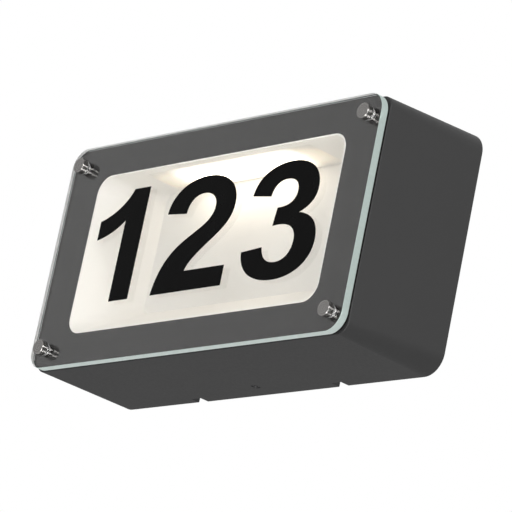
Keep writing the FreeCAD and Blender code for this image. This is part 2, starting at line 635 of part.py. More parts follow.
screw_sketch = new_sketch(tray, "lamp_bores", "XY_Plane", ("0", f"-{LAMP_BOX_OUT}", LAMP_TOP))
draw_circles(screw_sketch, "small_screw", LAMP_SCREWS)
grow(tray, screw_sketch, "thread_length", "Pocket", backwards=True)
nodes.append(tray)

seal = new_body("tray_seal")
plate(seal, "seal_outline", f"{WINDOW_WIDTH} + 2 * seal_width", f"{WINDOW_HEIGHT} + 2 * seal_width",
      FLANGE_FRONT,
      "seal_thick", radius="window_radius + seal_width")
plate(seal, "seal_window", WINDOW_WIDTH, WINDOW_HEIGHT, FLANGE_FRONT, "seal_thick",
      radius="window_radius", kind="Pocket")
nodes.append(seal)


def small_screws(label, spots, under_head, length, towards):
    """Small socket screws at (x, z) spots; `under_head` is the distance out of the face they clamp."""
    return group(label, [
        socket_screw(f"{label}_{number}", (x, under_head, z), towards, "small_screw", length, "small_head",
                     "small_head_thick")
        for number, (x, z) in enumerate(spots)])


nodes.append(small_screws("tray_screws", TRAY_SPOTS, FLANGE_BACK,
                          "flange_thick + seal_thick + housing_front - screw_short",
                          (0, -1, 0)))

# ---------------------------------------------------------------- light source
nodes.append(cuboid("lamp_diffuser", ("tray_gap - lamp_width / 2", f"{LAMP_OUT} - lamp_length / 2 + tray_gap",
                                      f"{CEILING} + tray_wall - diffuser_thick"),
                    ("lamp_width - 2 * tray_gap", "lamp_length - 2 * tray_gap", "diffuser_thick")))

board = new_body("led_board")
block(board, "board_outline", f"{LAMP_BOX} + board_tab", LAMP_BOX_DEPTH, LAMP_TOP, "board_thick",
      ("board_tab / 2", LAMP_BOX_OUT))
board_holes = new_sketch(board, "board_holes", "XY_Plane", ("0", f"-{LAMP_BOX_OUT}", LAMP_TOP))
draw_circles(board_holes, "small_screw + 4 * fit_gap", LAMP_SCREWS)
grow(board, board_holes, "board_thick", "Pocket")
nodes.append(board)

CHIP_ROW = "(lamp_width - 2 * lamp_ledge - 2 * chip_margin)"
chip_pitch = f"({CHIP_ROW} / (chip_count - 1))"
chips = []
for number in range(int(value("chip_count"))):
    middle = f"({number} * {chip_pitch} - {CHIP_ROW} / 2)"
    chips.append(cuboid(f"chip_{number}", (f"{middle} - chip_length / 2", f"{SLOT_OUT} - chip_width / 2",
                                           f"{LAMP_TOP} - chip_thick"),
                        ("chip_length", "chip_width", "chip_thick")))
nodes.append(group("led_chips", chips))

heat_plate = new_body("lamp_heat_plate")
block(heat_plate, "heat_outline", LAMP_BOX, LAMP_BOX_DEPTH, f"{LAMP_TOP} + board_thick", "plate_thick",
      ("0", LAMP_BOX_OUT))
heat_holes = new_sketch(heat_plate, "heat_holes", "XY_Plane",
                        ("0", f"-{LAMP_BOX_OUT}", f"{LAMP_TOP} + board_thick"))
draw_circles(heat_holes, "small_screw + 4 * fit_gap", LAMP_SCREWS)
grow(heat_plate, heat_holes, "plate_thick", "Pocket")
nodes.append(heat_plate)

HEAT_TOP = f"({LAMP_TOP} + board_thick + plate_thick)"
nodes.append(group("lamp_screws", [
    socket_screw(f"lamp_screw_{number}", (x, LAMP_BOX_OUT, HEAT_TOP), (0, 0, -1), "small_screw",
                 "plate_thick + board_thick + thread_length - fit_gap", "small_head", "small_head_thick")
    for number, (x, _) in enumerate(LAMP_SCREWS)]))

# ---------------------------------------------------------------- driver on the back of the tray
DRIVER_MIDDLE = (f"{DRIVER_LEFT} + driver_width / 2", "driver_low + driver_height / 2")
LID_OUT = f"({PANEL_BACK} - driver_thick)"
EAR_OUT = f"({POST_OUT} - ear_thick)"
DRIVER_LEAD_OUT = f"({LID_OUT} + lead_level)"

driver = new_body("driver_case")
plate(driver, "case_outside", "driver_width", "driver_height", f"{LID_OUT} + driver_wall",
      "driver_thick - driver_wall", at=DRIVER_MIDDLE)
plate(driver, "case_inside", "driver_width - 2 * driver_wall", "driver_height - 2 * driver_wall",
      f"{LID_OUT} + driver_wall", "driver_thick - 2 * driver_wall", at=DRIVER_MIDDLE, kind="Pocket")
for number, (x, z) in enumerate(DRIVER_SPOTS):
    plate(driver, f"case_ear_{number}", "ear_length + 1", "ear_length", EAR_OUT, "ear_thick", at=(x, z))
bosses(driver, "ear_holes", "small_screw + 4 * fit_gap", DRIVER_SPOTS, EAR_OUT, "ear_thick", "Pocket")
LED_LEADS = [(f"{LEAD_X} - led_lead_pitch", "0"), (LEAD_X, "0")]
top_holes = new_sketch(driver, "led_lead_holes", "XY_Plane",
                       ("0", f"-{DRIVER_LEAD_OUT}", "driver_low + driver_height - driver_wall"))
draw_circles(top_holes, "lead_dia", LED_LEADS)
grow(driver, top_holes, "driver_wall", "Pocket")
SUPPLY_LEVELS = [f"{PLUG_LEVEL} + lead_pitch / 2", f"{PLUG_LEVEL} - lead_pitch / 2"]
end_holes = new_sketch(driver, "supply_lead_holes", "YZ_Plane", (f"-{DRIVER_LEAD_OUT}", "0", DRIVER_LEFT))
draw_circles(end_holes, "lead_dia", [("0", level) for level in SUPPLY_LEVELS])
grow(driver, end_holes, "driver_wall", "Pocket")
nodes.append(driver)

lid = new_body("driver_lid")
plate(lid, "lid_outline", "driver_width", "driver_height", LID_OUT, "driver_wall", at=DRIVER_MIDDLE)
nodes.append(lid)

# The circuit board lies on the case floor with its larger parts standing on it.
BOARD_OUT = f"({PANEL_BACK} - driver_wall - circuit_rise - board_thick)"
board_base = cuboid("circuit_base", (f"{DRIVER_LEFT} + 2 * driver_wall", BOARD_OUT,
                                     "driver_low + 2 * driver_wall"),
                    ("driver_width - 4 * driver_wall", "board_thick", "driver_height - 4 * driver_wall"))
feet = cuboid("circuit_feet", (f"{DRIVER_LEFT} + 4 * driver_wall", f"{BOARD_OUT} + board_thick",
                               "driver_low + 4 * driver_wall"),
              ("driver_width - 8 * driver_wall", "circuit_rise", "driver_height - 8 * driver_wall"))
transformer = cuboid("circuit_coil", (f"{DRIVER_LEFT} + driver_width / 2", f"{BOARD_OUT} - coil_thick",
                                      "driver_low + 6 * driver_wall"),
                     ("coil_width", "coil_thick", "coil_tall"))
capacitor = cylinder("circuit_can", "can_dia", "can_length", (f"{DRIVER_LEFT} + driver_width / 4",
                                                              f"{BOARD_OUT} - can_length",
                                                              "driver_low + driver_height / 2"))
circuit = fused("driver_board", [board_base, feet, transformer, capacitor])
circuit.Label = "driver_board"
nodes.append(circuit)

nodes.append(small_screws("rear_screws", DRIVER_SPOTS + PLUG_SPOTS, EAR_OUT,
                          "ear_thick + thread_length - fit_gap", (0, -1, 0)))

# ---------------------------------------------------------------- supply plug, and the socket on the bracket
PIN_SPOTS = [(f"{PLUG_MIDDLE} + ({step}) * pin_pitch", PLUG_LEVEL) for step in (-1, 0, 1)]
PIN_HOLD = f"(pin_length + {PLUG_THICK} / 2)"
plug = new_body("supply_plug")
plate(plug, "plug_outline", "plug_width", "plug_height", PLUG_FACE, PLUG_THICK, at=(PLUG_MIDDLE, PLUG_LEVEL))
for number, (x, z) in enumerate(PLUG_SPOTS):
    plate(plug, f"plug_ear_{number}", "ear_length", "ear_length + 1", EAR_OUT, "ear_thick", at=(x, z))
bosses(plug, "plug_ear_holes", "small_screw + 4 * fit_gap", PLUG_SPOTS, EAR_OUT, "ear_thick", "Pocket")
bosses(plug, "pin_bores", "pin_dia", PIN_SPOTS, PLUG_FACE, f"{PLUG_THICK} / 2", "Pocket")
nodes.append(plug)
nodes.append(group("plug_pins", [
    cylinder(f"pin_{number}", "pin_dia", PIN_HOLD, (x, f"{PLUG_FACE} - pin_length", z))
    for number, (x, z) in enumerate(PIN_SPOTS)]))

CONTACT_BORE = "(pin_dia + 2 * pin_gap)"
CONTACT_DIA = f"({CONTACT_BORE} + 2 * contact_wall)"
SOCKET_TALL = "(plug_height + socket_above)"
SOCKET_LEVEL = "(plug_low + (plug_height + socket_above) / 2)"
CLAMP_LEVEL = f"(plug_low + {SOCKET_TALL} - clamp_inset)"
supply_socket = new_body("supply_socket")
plate(supply_socket, "socket_outline", "plug_width + 2 * socket_side", SOCKET_TALL, "bracket_sheet",
      "socket_thick",
      at=(PLUG_MIDDLE, SOCKET_LEVEL))
bosses(supply_socket, "contact_bores", CONTACT_DIA, PIN_SPOTS, f"{SOCKET_FACE} - pin_length", "pin_length",
       "Pocket")
bosses(supply_socket, "clamp_bores", "clamp_dia", [(x, CLAMP_LEVEL) for x, _ in PIN_SPOTS],
       f"{SOCKET_FACE} - socket_thick * 2 / 3", "socket_thick * 2 / 3", "Pocket")
wire_holes = new_sketch(supply_socket, "wire_holes", "XY_Plane",
                        ("0", "-(bracket_sheet + socket_thick / 3)", f"plug_low + {SOCKET_TALL}"))
draw_circles(wire_holes, "wire_bore", [(x, "0") for x, _ in PIN_SPOTS])
grow(supply_socket, wire_holes, "socket_above + clamp_inset", "Pocket", backwards=True)
SOCKET_SPOTS = [(f"{PLUG_MIDDLE} + ({step}) * pin_pitch / 2", CLAMP_LEVEL) for step in (-1, 1)]
bosses(supply_socket, "fixing_holes", "small_screw", SOCKET_SPOTS, "bracket_sheet", "socket_thick", "Pocket")
nodes.append(supply_socket)
nodes.append(group("socket_contacts", [
    ring(f"contact_{number}", CONTACT_DIA, CONTACT_BORE, "pin_length", (x, f"{SOCKET_FACE} - pin_length", z))
    for number, (x, z) in enumerate(PIN_SPOTS)]))
nodes.append(group("terminal_screws", [
    cylinder(f"clamp_screw_{number}", "clamp_dia", "socket_thick / 2 - screw_short",
             (x, f"{SOCKET_FACE} - socket_thick / 2",
                                                                          CLAMP_LEVEL))
    for number, (x, _) in enumerate(PIN_SPOTS)]))
nodes.append(group("socket_screws", [
    cylinder(f"socket_screw_{number}", "small_screw", "socket_thick + bracket_sheet - screw_short",
             (x, "0", z))
    for number, (x, z) in enumerate(SOCKET_SPOTS)]))

# ---------------------------------------------------------------- wall bracket
bracket = new_body("wall_bracket")
plate(bracket, "back_plate", "bracket_width", BRACKET_HEIGHT, "0", "bracket_sheet", radius="bracket_radius")
HOOK_FOOT = f"({BRACKET_HEIGHT} / 2 - bracket_sheet)"
HOOK_TALL = f"({HOOK_TOP} - {HOOK_FOOT})"
for number, side in enumerate((-1, 1)):
    x = f"{side} * hook_pitch / 2"
    plate(bracket, f"hook_stem_{number}", "hook_width", HOOK_TALL, "0", "bracket_sheet",
          at=(x, f"{HOOK_TOP} - {HOOK_TALL} / 2"))
    plate(bracket, f"hook_{number}", "hook_width", "bracket_sheet", "0", "hook_reach",
          at=(x, f"{HOOK_TOP} - bracket_sheet / 2"))
TAB_TALL = f"(-{TAB_LOW} - {HOOK_FOOT})"
plate(bracket, "tab_stem", "tab_width", TAB_TALL, "0", "bracket_sheet",
      at=("0", f"{TAB_LOW} + {TAB_TALL} / 2"))
plate(bracket, "lock_tab", "tab_width", "bracket_sheet", "0", "hook_reach",
      at=("0", f"{TAB_LOW} + bracket_sheet / 2"))
for number, (x, z) in enumerate(four("slot_pitch_x / 2", "slot_pitch_z / 2")):
    plate(bracket, f"slot_{number}", "slot_length", "slot_width", "0", "bracket_sheet", at=(x, z),
          radius="slot_width / 2 - slot_flat", kind="Pocket")
bosses(bracket, "cable_entry", "entry_dia", [("0", "entry_height")], "0", "bracket_sheet", "Pocket")
bosses(bracket, "socket_threads", "small_screw", SOCKET_SPOTS, "0", "bracket_sheet", "Pocket")
EARTH_SPOT = ("bracket_earth_x", "bracket_earth_z")
bosses(bracket, "earth_thread", "earth_screw", [EARTH_SPOT], "0", "bracket_sheet", "Pocket")
nodes.append(bracket)

grommet_at = ("0", "0", "entry_height")
neck = cylinder("grommet_neck", "entry_dia", "bracket_sheet", grommet_at)
lip = cylinder("grommet_lip_disc", "grommet_flange", "grommet_lip", ("0", "bracket_sheet", "entry_height"))
cone = doc.addObject("Part::Cone", "grommet_cone_shape")
cone.Placement = neck.Placement
bind(cone, "Radius1", "entry_dia / 2")
bind(cone, "Radius2", "grommet_tip / 2")
bind(cone, "Height", "grommet_cone")
for axis, text in zip("xyz", ("0", "-(bracket_sheet + grommet_lip)", "entry_height")):
    bind(cone, f"Placement.Base.{axis}", text)
bore = cylinder("grommet_hole", "grommet_bore", "bracket_sheet + grommet_lip + grommet_cone", grommet_at)
grommet = cut("cable_grommet", fused("grommet_blank", [neck, lip, cone]), bore)
grommet.Label = "cable_grommet"
nodes.append(grommet)

bracket_earth = socket_screw("bracket_earth_screw", (EARTH_SPOT[0], "bracket_sheet", EARTH_SPOT[1]),
                             (0, 1, 0),
                             "earth_screw", "bracket_sheet", "earth_head", "small_head_thick")
bracket_earth.Label = "bracket_earth_screw"
nodes.append(bracket_earth)

# ---------------------------------------------------------------- lock screw and earth screw
lock_body = cylinder("lock_shank", "lock_dia - 2 * lock_thread_gap",
                     f"glass_height / 2 - lock_recess + {TIP_TOP}",
                     ("0", "lock_out", TIP_TOP), (0, 0, -1))
lock_key = doc.addObject("Part::Prism", "lock_key")
lock_key.Polygon = 6
bind(lock_key, "Circumradius", "hex_key / 2")
bind(lock_key, "Height", "hex_key")
for axis, text in zip("xyz", ("0", "-lock_out", "lock_recess - glass_height / 2")):
    bind(lock_key, f"Placement.Base.{axis}", text)
lock_screw = cut("lock_screw", lock_body, lock_key)
lock_screw.Label = "lock_screw"
nodes.append(lock_screw)

EARTH_TOP = f"(earth_boss - {FLOOR_INSIDE})"
tag_at = ("earth_x", "earth_out", EARTH_TOP)
tag_disc = cylinder("tag_disc", "tag_dia", "tag_thick", tag_at, (0, 0, 1))
tag_tongue = cuboid("tag_tongue_strip", ("earth_x", "earth_out - lead_dia", EARTH_TOP),
                    ("tag_dia / 2 + tag_tongue", "2 * lead_dia", "tag_thick"))
tag = cut("earth_tag", fused("tag_blank", [tag_disc, tag_tongue]),
          cylinder("tag_hole", "earth_screw", "tag_thick", tag_at, (0, 0, 1)))
tag.Label = "earth_tag"
nodes.append(tag)
housing_earth = socket_screw("housing_earth_screw", ("earth_x", "earth_out", f"{EARTH_TOP} + tag_thick"),
                             (0, 0, -1),
                             "earth_screw", "earth_boss + tag_thick - screw_short", "earth_head",
                             "small_head_thick")
housing_earth.Label = "housing_earth_screw"
nodes.append(housing_earth)


# ---------------------------------------------------------------- leads held inside the housing
def lead(label, route):
    """An insulated lead: straight runs joined by tangent arcs through points (x, out, z)."""
    points = [FreeCAD.Vector(value(x), -value(out), value(z)) for x, out, z in route]
    edges = []
    here = points[0]
    for before, corner, after in zip(points, points[1:], points[2:]):
        arriving, leaving = corner - before, after - corner
        turn = arriving.getAngle(leaving)
        trim = 0.45 * min(arriving.Length, leaving.Length)
        radius = trim / math.tan(turn / 2)
        start = corner - arriving.normalize() * trim
        end = corner + leaving.normalize() * trim
        inward = (start + end - corner * 2).normalize()
        middle = corner + inward * (math.hypot(radius, trim) - radius)
        edges.append(Part.LineSegment(here, start).toShape())
        edges.append(Part.Arc(start, middle, end).toShape())
        here = end
    edges.append(Part.LineSegment(here, points[-1]).toShape())
    ring_edge = Part.Circle(points[0], points[1] - points[0], value("lead_dia") / 2).toShape()
    feature = doc.addObject("Part::Feature", label)
    feature.Label = label
    feature.Shape = Part.Wire(edges).makePipeShell([Part.Wire([ring_edge])], True, False)
    return feature


LEAD_BEND = f"(plug_left + plug_width + {DRIVER_LEFT}) / 2"
for label, level in zip(("lead_live", "lead_neutral"), SUPPLY_LEVELS):
    nodes.append(lead(label, [("plug_left + plug_width", DRIVER_LEAD_OUT, level),
                              (f"{LEAD_BEND} - lead_bow_run", DRIVER_LEAD_OUT, level),
                              (LEAD_BEND, f"{DRIVER_LEAD_OUT} + lead_bow", level),
                              (f"{LEAD_BEND} + lead_bow_run", DRIVER_LEAD_OUT, level),
                              (f"{DRIVER_LEFT} + driver_wall", DRIVER_LEAD_OUT, level)]))
BOARD_TOP = f"({LAMP_TOP} + board_thick)"
for label, (x, _) in zip(("led_lead_plus", "led_lead_minus"), LED_LEADS):
    nodes.append(lead(label, [(x, DRIVER_LEAD_OUT, "driver_low + driver_height - driver_wall"),
                              (x, DRIVER_LEAD_OUT, f"{BOARD_TOP} + lead_dia / 2"),
                              (x, LAMP_BOX_OUT, f"{BOARD_TOP} + lead_dia / 2")]))
EARTH_EXIT = f"({PANEL_BACK} - {PLUG_THICK} / 2)"
CRIMP_X = "earth_x + tag_dia / 2 + tag_tongue / 2"
nodes.append(lead("lead_earth", [("plug_left", EARTH_EXIT, "plug_low + lead_dia"),
                                 ("plug_left - earth_lead_run", EARTH_EXIT, "plug_low + lead_dia"),
                                 (CRIMP_X, "earth_out", f"{EARTH_TOP} + tag_thick + earth_lead_rise"),
                                 (CRIMP_X, "earth_out", f"{EARTH_TOP} + tag_thick")]))

clip = new_body("lead_clip")
CLIP_OUT = f"({DRIVER_LEAD_OUT} - lead_dia)"
plate(clip, "clip_block", "clip_length", "lead_pitch + 4 * lead_dia", CLIP_OUT, f"{PANEL_BACK} - {CLIP_OUT}",
      at=(LEAD_BEND, PLUG_LEVEL))
plate(clip, "clip_channel", "clip_length", "lead_pitch + 2 * lead_dia", CLIP_OUT, "lead_dia * 3",
      at=(LEAD_BEND, PLUG_LEVEL), kind="Pocket")
nodes.append(clip)

# ---------------------------------------------------------------- checks and files
doc.recompute()
for item in doc.Objects:
    if {"Invalid", "Error"} & set(item.State):
        raise RuntimeError(f"{item.Label} did not build: {item.State}")
for node in nodes:
    if node.Shape.isNull() or not node.Shape.isValid():
        raise RuntimeError(f"{node.Label} has no valid shape")

os.makedirs("parts", exist_ok=True)
for node in nodes:
    node.Shape.exportStep(f"parts/{node.Label}.step")
print(len(nodes), "nodes")
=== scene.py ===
import json
import math

import bmesh
import bpy
from mathutils import Matrix, Vector

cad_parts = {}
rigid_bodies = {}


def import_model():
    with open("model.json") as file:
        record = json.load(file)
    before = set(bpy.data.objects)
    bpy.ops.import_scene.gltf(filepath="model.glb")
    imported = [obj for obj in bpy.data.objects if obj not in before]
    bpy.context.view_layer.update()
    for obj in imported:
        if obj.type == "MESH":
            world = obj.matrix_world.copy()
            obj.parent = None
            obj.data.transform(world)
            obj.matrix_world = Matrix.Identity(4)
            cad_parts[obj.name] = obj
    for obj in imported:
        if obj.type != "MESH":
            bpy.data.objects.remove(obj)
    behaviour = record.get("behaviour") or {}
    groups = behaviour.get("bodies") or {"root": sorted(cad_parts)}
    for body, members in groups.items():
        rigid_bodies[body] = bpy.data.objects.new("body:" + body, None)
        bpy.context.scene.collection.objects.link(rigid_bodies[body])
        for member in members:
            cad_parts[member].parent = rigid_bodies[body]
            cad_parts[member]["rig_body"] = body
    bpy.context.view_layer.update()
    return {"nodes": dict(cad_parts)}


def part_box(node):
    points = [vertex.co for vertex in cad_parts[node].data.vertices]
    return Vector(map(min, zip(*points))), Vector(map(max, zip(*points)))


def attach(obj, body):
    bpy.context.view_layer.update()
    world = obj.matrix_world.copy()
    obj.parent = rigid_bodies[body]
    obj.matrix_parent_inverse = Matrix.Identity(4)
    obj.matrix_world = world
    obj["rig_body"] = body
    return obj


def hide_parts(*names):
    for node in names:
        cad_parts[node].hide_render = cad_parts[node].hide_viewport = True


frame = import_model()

# ---- Wall bracket: the plate that stays on the wall, with two hooks above and the lock tab below.
# Folded from 2 mm steel sheet and zinc plated, with cloudy plating and slightly round cut edges.
# Four wall screws go through its level slots.
BRACKET_EDGE = 0.00035
ZINC = ((0.40, 0.42, 0.45, 1), (0.60, 0.62, 0.64, 1))
NOISE_LOW = 0.3
NOISE_HIGH = 0.7
SAME_POINT = 2e-6
FLAT = math.radians(0.5)
SHARP = math.radians(33)
EDGE_STEPS = 2
FLATS_FIRST = 100


def blank(name, **sockets):
    """A new material, its node tree and its Principled shader with these sockets set."""
    material = bpy.data.materials.new(name)
    material.use_nodes = True
    shader = material.node_tree.nodes["Principled BSDF"]
    for socket, number in sockets.items():
        shader.inputs[socket.replace("_", " ")].default_value = number
    return material, material.node_tree, shader


def add(tree, kind, inputs=(), **settings):
    """A node of this kind. Each input is given a number, or the socket that feeds it."""
    node = tree.nodes.new(kind)
    for setting, choice in settings.items():
        setattr(node, setting, choice)
    for socket, source in dict(inputs).items():
        if isinstance(source, bpy.types.NodeSocket):
            tree.links.new(source, node.inputs[socket])
        else:
            node.inputs[socket].default_value = source
    return node


def grain(tree, size, detail=4.0, stretch=(1, 1, 1)):
    """Noise on the piece's own coordinates, whose patches are about this many metres across."""
    place = add(tree, "ShaderNodeTexCoord").outputs["Object"]
    scaled = add(tree, "ShaderNodeMapping", {"Vector": place, "Scale": stretch})
    noise = add(tree, "ShaderNodeTexNoise",
                {"Vector": scaled.outputs[0], "Scale": 1 / size, "Detail": detail})
    return noise.outputs["Fac"]


def between(tree, share, low, high):
    """A number or a colour that goes from low to high over the middle of the noise."""
    if isinstance(low, tuple):
        ramp = add(tree, "ShaderNodeValToRGB", {"Fac": share})
        stops = ((NOISE_LOW, low), (NOISE_HIGH, high))
        for stop, (place, colour) in zip(ramp.color_ramp.elements, stops):
            stop.position = place
            stop.color = colour
        return ramp.outputs["Color"]
    spread = {"Value": share, "From Min": NOISE_LOW, "From Max": NOISE_HIGH,
              "To Min": low, "To Max": high}
    return add(tree, "ShaderNodeMapRange", spread).outputs[0]


def rough_up(tree, shader, heights, depth, strength=1.0):
    """Bumps of this depth in metres where the heights are 1."""
    bump = add(tree, "ShaderNodeBump", {"Height": heights, "Distance": depth, "Strength": strength})
    tree.links.new(bump.outputs[0], shader.inputs["Normal"])


def zinc_plate():
    """Passivated zinc on steel: bluish grey clouds, rather dull."""
    material, tree, shader = blank("zinc_plate", Metallic=0.9)
    clouds = between(tree, grain(tree, size=0.006), *ZINC)
    bloom = between(tree, grain(tree, size=0.002), low=0.36, high=0.5)
    tree.links.new(clouds, shader.inputs["Base Color"])
    tree.links.new(bloom, shader.inputs["Roughness"])
    rough_up(tree, shader, grain(tree, size=0.0006), depth=0.00002)
    return material


def eased(name, node, finish, radius=0.0):
    """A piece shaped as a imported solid: triangles joined, flats whole and sharp edges rounded."""
    mesh = frame["nodes"][node].data.copy()
    mesh.name = name
    shape = bmesh.new()
    shape.from_mesh(mesh)
    bmesh.ops.remove_doubles(shape, verts=shape.verts, dist=SAME_POINT)
    bmesh.ops.dissolve_limit(shape, angle_limit=FLAT, verts=shape.verts, edges=shape.edges)
    for face in shape.faces:
        face.smooth = True
        face.material_index = 0
    for edge in shape.edges:
        edge.smooth = radius > 0 or edge.calc_face_angle(0) < SHARP
    shape.to_mesh(mesh)
    shape.free()
    mesh.materials.clear()
    mesh.materials.append(finish)
    piece = bpy.data.objects.new(name, mesh)
    bpy.context.scene.collection.objects.link(piece)
    if radius:
        rounding = piece.modifiers.new("rounding", "BEVEL")
        rounding.width = radius
        rounding.segments = EDGE_STEPS
        rounding.limit_method = "ANGLE"
        rounding.angle_limit = SHARP
        rounding.use_clamp_overlap = False
        flats = piece.modifiers.new("flats", "WEIGHTED_NORMAL")
        flats.keep_sharp = True
        flats.weight = FLATS_FIRST
    return fitted(piece, node)


def fitted(piece, node):
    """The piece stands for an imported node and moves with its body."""
    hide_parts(node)
    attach(piece, frame["nodes"][node]["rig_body"])
    return piece


zinc = zinc_plate()
eased("bracket_plate", "wall_bracket", zinc, BRACKET_EDGE)

# ---- Cable grommet: a soft black rubber cone in the bracket, moulded in one piece.
# The supply cable comes through it from the wall.
GROMMET_EDGE = 0.0004
RUBBER = (0.012, 0.012, 0.013, 1)


def rubber():
    """Black moulded rubber with a dull bloom."""
    material, tree, shader = blank("black_rubber", Base_Color=RUBBER)
    bloom = between(tree, grain(tree, size=0.004), low=0.6, high=0.78)
    tree.links.new(bloom, shader.inputs["Roughness"])
    rough_up(tree, shader, grain(tree, size=0.0004), depth=0.00003)
    return material


soft_black = rubber()
eased("entry_grommet", "cable_grommet", soft_black, GROMMET_EDGE)

# ---- Supply socket: a moulded terminal block screwed to the bracket.
# White glass-filled nylon with three brass contact tubes that take the plug's pins.
# Clamp screws above them hold the supply wires.
MOULDED_EDGE = 0.0003
SCREW_EDGE = 0.0001
MOULDED_WHITE = ((0.66, 0.65, 0.61, 1), (0.72, 0.71, 0.67, 1))
BRASS = ((0.52, 0.36, 0.13, 1), (0.66, 0.48, 0.20, 1))


def moulded(name, colours, roughness=0.45, texture=0.00002):
    """Injection moulded plastic: faint clouds of colour, fine spark-eroded texture."""
    material, tree, shader = blank(name, Roughness=roughness)
    clouds = between(tree, grain(tree, size=0.012), *colours)
    tree.links.new(clouds, shader.inputs["Base Color"])
    rough_up(tree, shader, grain(tree, size=0.0005), depth=texture)
    return material


def drawn_brass():
    """Plain brass, lightly tarnished in streaks."""
    material, tree, shader = blank("drawn_brass", Metallic=1.0)
    streaks = grain(tree, size=0.003, stretch=(1, 0.2, 1))
    tarnish = between(tree, streaks, low=0.22, high=0.4)
    tree.links.new(between(tree, streaks, *BRASS), shader.inputs["Base Color"])
    tree.links.new(tarnish, shader.inputs["Roughness"])
    return material


white_nylon = moulded("moulded_white", MOULDED_WHITE)
brass = drawn_brass()
eased("terminal_block", "supply_socket", white_nylon, MOULDED_EDGE)
eased("contact_tubes", "socket_contacts", brass)
for name, node in (("clamp_screws", "terminal_screws"), ("block_screws", "socket_screws"),
                   ("bracket_earth", "bracket_earth_screw")):
    eased(name, node, zinc, SCREW_EDGE)

# ---- Housing: one tapered aluminium casting, open towards the wall.
# It is powder coated dark grey with a fine pebble, and its cast edges are a little round.
# Two drain notches and the lock screw's bore are in its underside.
HOUSING_EDGE = 0.0005
COAT = ((0.050, 0.050, 0.0502, 1), (0.052, 0.052, 0.0522, 1))
COAT_PEBBLE = 0.0007


def powder_coat():
    """Baked polyester powder: nearly even grey, semi-matt, with a fine orange-peel pebble."""
    material, tree, shader = blank("grey_powder_coat", Specular_IOR_Level=0.3)
    clouds = between(tree, grain(tree, size=0.03, detail=2.0), *COAT)
    sheen = between(tree, grain(tree, size=0.0015), low=0.48, high=0.54)
    tree.links.new(clouds, shader.inputs["Base Color"])
    tree.links.new(sheen, shader.inputs["Roughness"])
    rough_up(tree, shader, grain(tree, COAT_PEBBLE, detail=2.0), depth=0.00003, strength=0.6)
    return material


eased("housing_casting", "housing", powder_coat(), HOUSING_EDGE)

# ---- Lock screw: a short set screw with a hexagon socket, driven up through the underside.
# Its tip ends just under the bracket's tab. Its zinc is coloured dark grey, painted shade of its
# bore, so it hardly shows.
LOCK_SCREW_EDGE = 0.0002
PAINTED_SHADE_ZINC = ((0.07, 0.07, 0.072, 1), (0.12, 0.12, 0.123, 1))


def zinc_painted_shade():
    """Zinc coloured dark grey as painted shade of the screw's bore, dull, with small clouds."""
    material, tree, shader = blank("zinc_painted_shade", Metallic=0.9, Roughness=0.45)
    clouds = between(tree, grain(tree, size=0.001), *PAINTED_SHADE_ZINC)
    tree.links.new(clouds, shader.inputs["Base Color"])
    return material


eased("lock_set_screw", "lock_screw", zinc_painted_shade(), LOCK_SCREW_EDGE)

# ---- Reflector tray: the white recess behind the glass, with its flange, lamp box and rear posts.
# Moulded in one piece from satin white plastic, and screwed to the housing from behind.
# A black foam seal lies between its flange and the housing.
TRAY_EDGE = 0.0002
TRAY_WHITE = ((0.95, 0.927, 0.88, 1), (0.96, 0.937, 0.89, 1))
# The tray's faint glow is painted light: the plastic emits though it is no lamp.
TRAY_PAINTED_GLOW = (1.0, 0.96, 0.88, 1)


def satin_white():
    """Satin white plastic with faint flow marks and a faint painted glow of its own that brightens
    the recess.
    """
    material, tree, shader = blank("satin_white", Roughness=0.42, Emission_Color=TRAY_PAINTED_GLOW,
                                   Emission_Strength=0.04)
    flow = between(tree, grain(tree, size=0.05, detail=2.0), *TRAY_WHITE)
    tree.links.new(flow, shader.inputs["Base Color"])
    rough_up(tree, shader, grain(tree, size=0.0009, detail=2.0), depth=0.00001)
    return material


eased("recess_tray", "reflector_tray", satin_white(), TRAY_EDGE)
eased("tray_foam_seal", "tray_seal", soft_black, TRAY_EDGE)
eased("tray_fixings", "tray_screws", zinc, SCREW_EDGE)

# ---- Light source: a row of chips on a long board in the lamp box, above an opal sheet.
# The aluminium board is lacquered white and carries a heat plate; two screws hold both to the tray.
# The sheet is the recess's ceiling: nearly white in its middle, warmer and weaker towards its ends.
OPAL_EDGE = 0.0003
LIGHT_BOARD_EDGE = 0.0001
HEAT_PLATE_EDGE = 0.0003
OPAL = (0.85, 0.84, 0.80, 1)
MILL_GREY = ((0.58, 0.59, 0.60, 1), (0.70, 0.71, 0.72, 1))
WHITE_MASK = ((0.70, 0.70, 0.68, 1), (0.76, 0.76, 0.74, 1))
PHOSPHOR = ((0.85, 0.62, 0.16, 1), (0.92, 0.76, 0.30, 1))
CHIP_COUNT = 14
CHIP_SIZE = (0.0035, 0.0028, 0.0008)
CHIP_WINDOW = 0.8
GLOW = ((0.00, (1.0, 0.90, 0.76, 1)), (0.53, (1.0, 0.90, 0.75, 1)),
        (0.82, (0.12, 0.095, 0.065, 1)), (1.00, (0.06, 0.047, 0.03, 1)))
GLOW_CORE = 0.25
GLOW_STRENGTH = 3.8
GLOW_RIM = 0.8


def graded(tree, share, stops):
    """Colours that ease from one stop to the next; each stop is a place and its colour."""
    ramp = add(tree, "ShaderNodeValToRGB", {"Fac": share})
    ramp.color_ramp.interpolation = "EASE"
    while len(ramp.color_ramp.elements) < len(stops):
        ramp.color_ramp.elements.new(0.5)
    for stop, (place, colour) in zip(ramp.color_ramp.elements, stops):
        stop.position = place
        stop.color = colour
    return ramp.outputs["Color"]


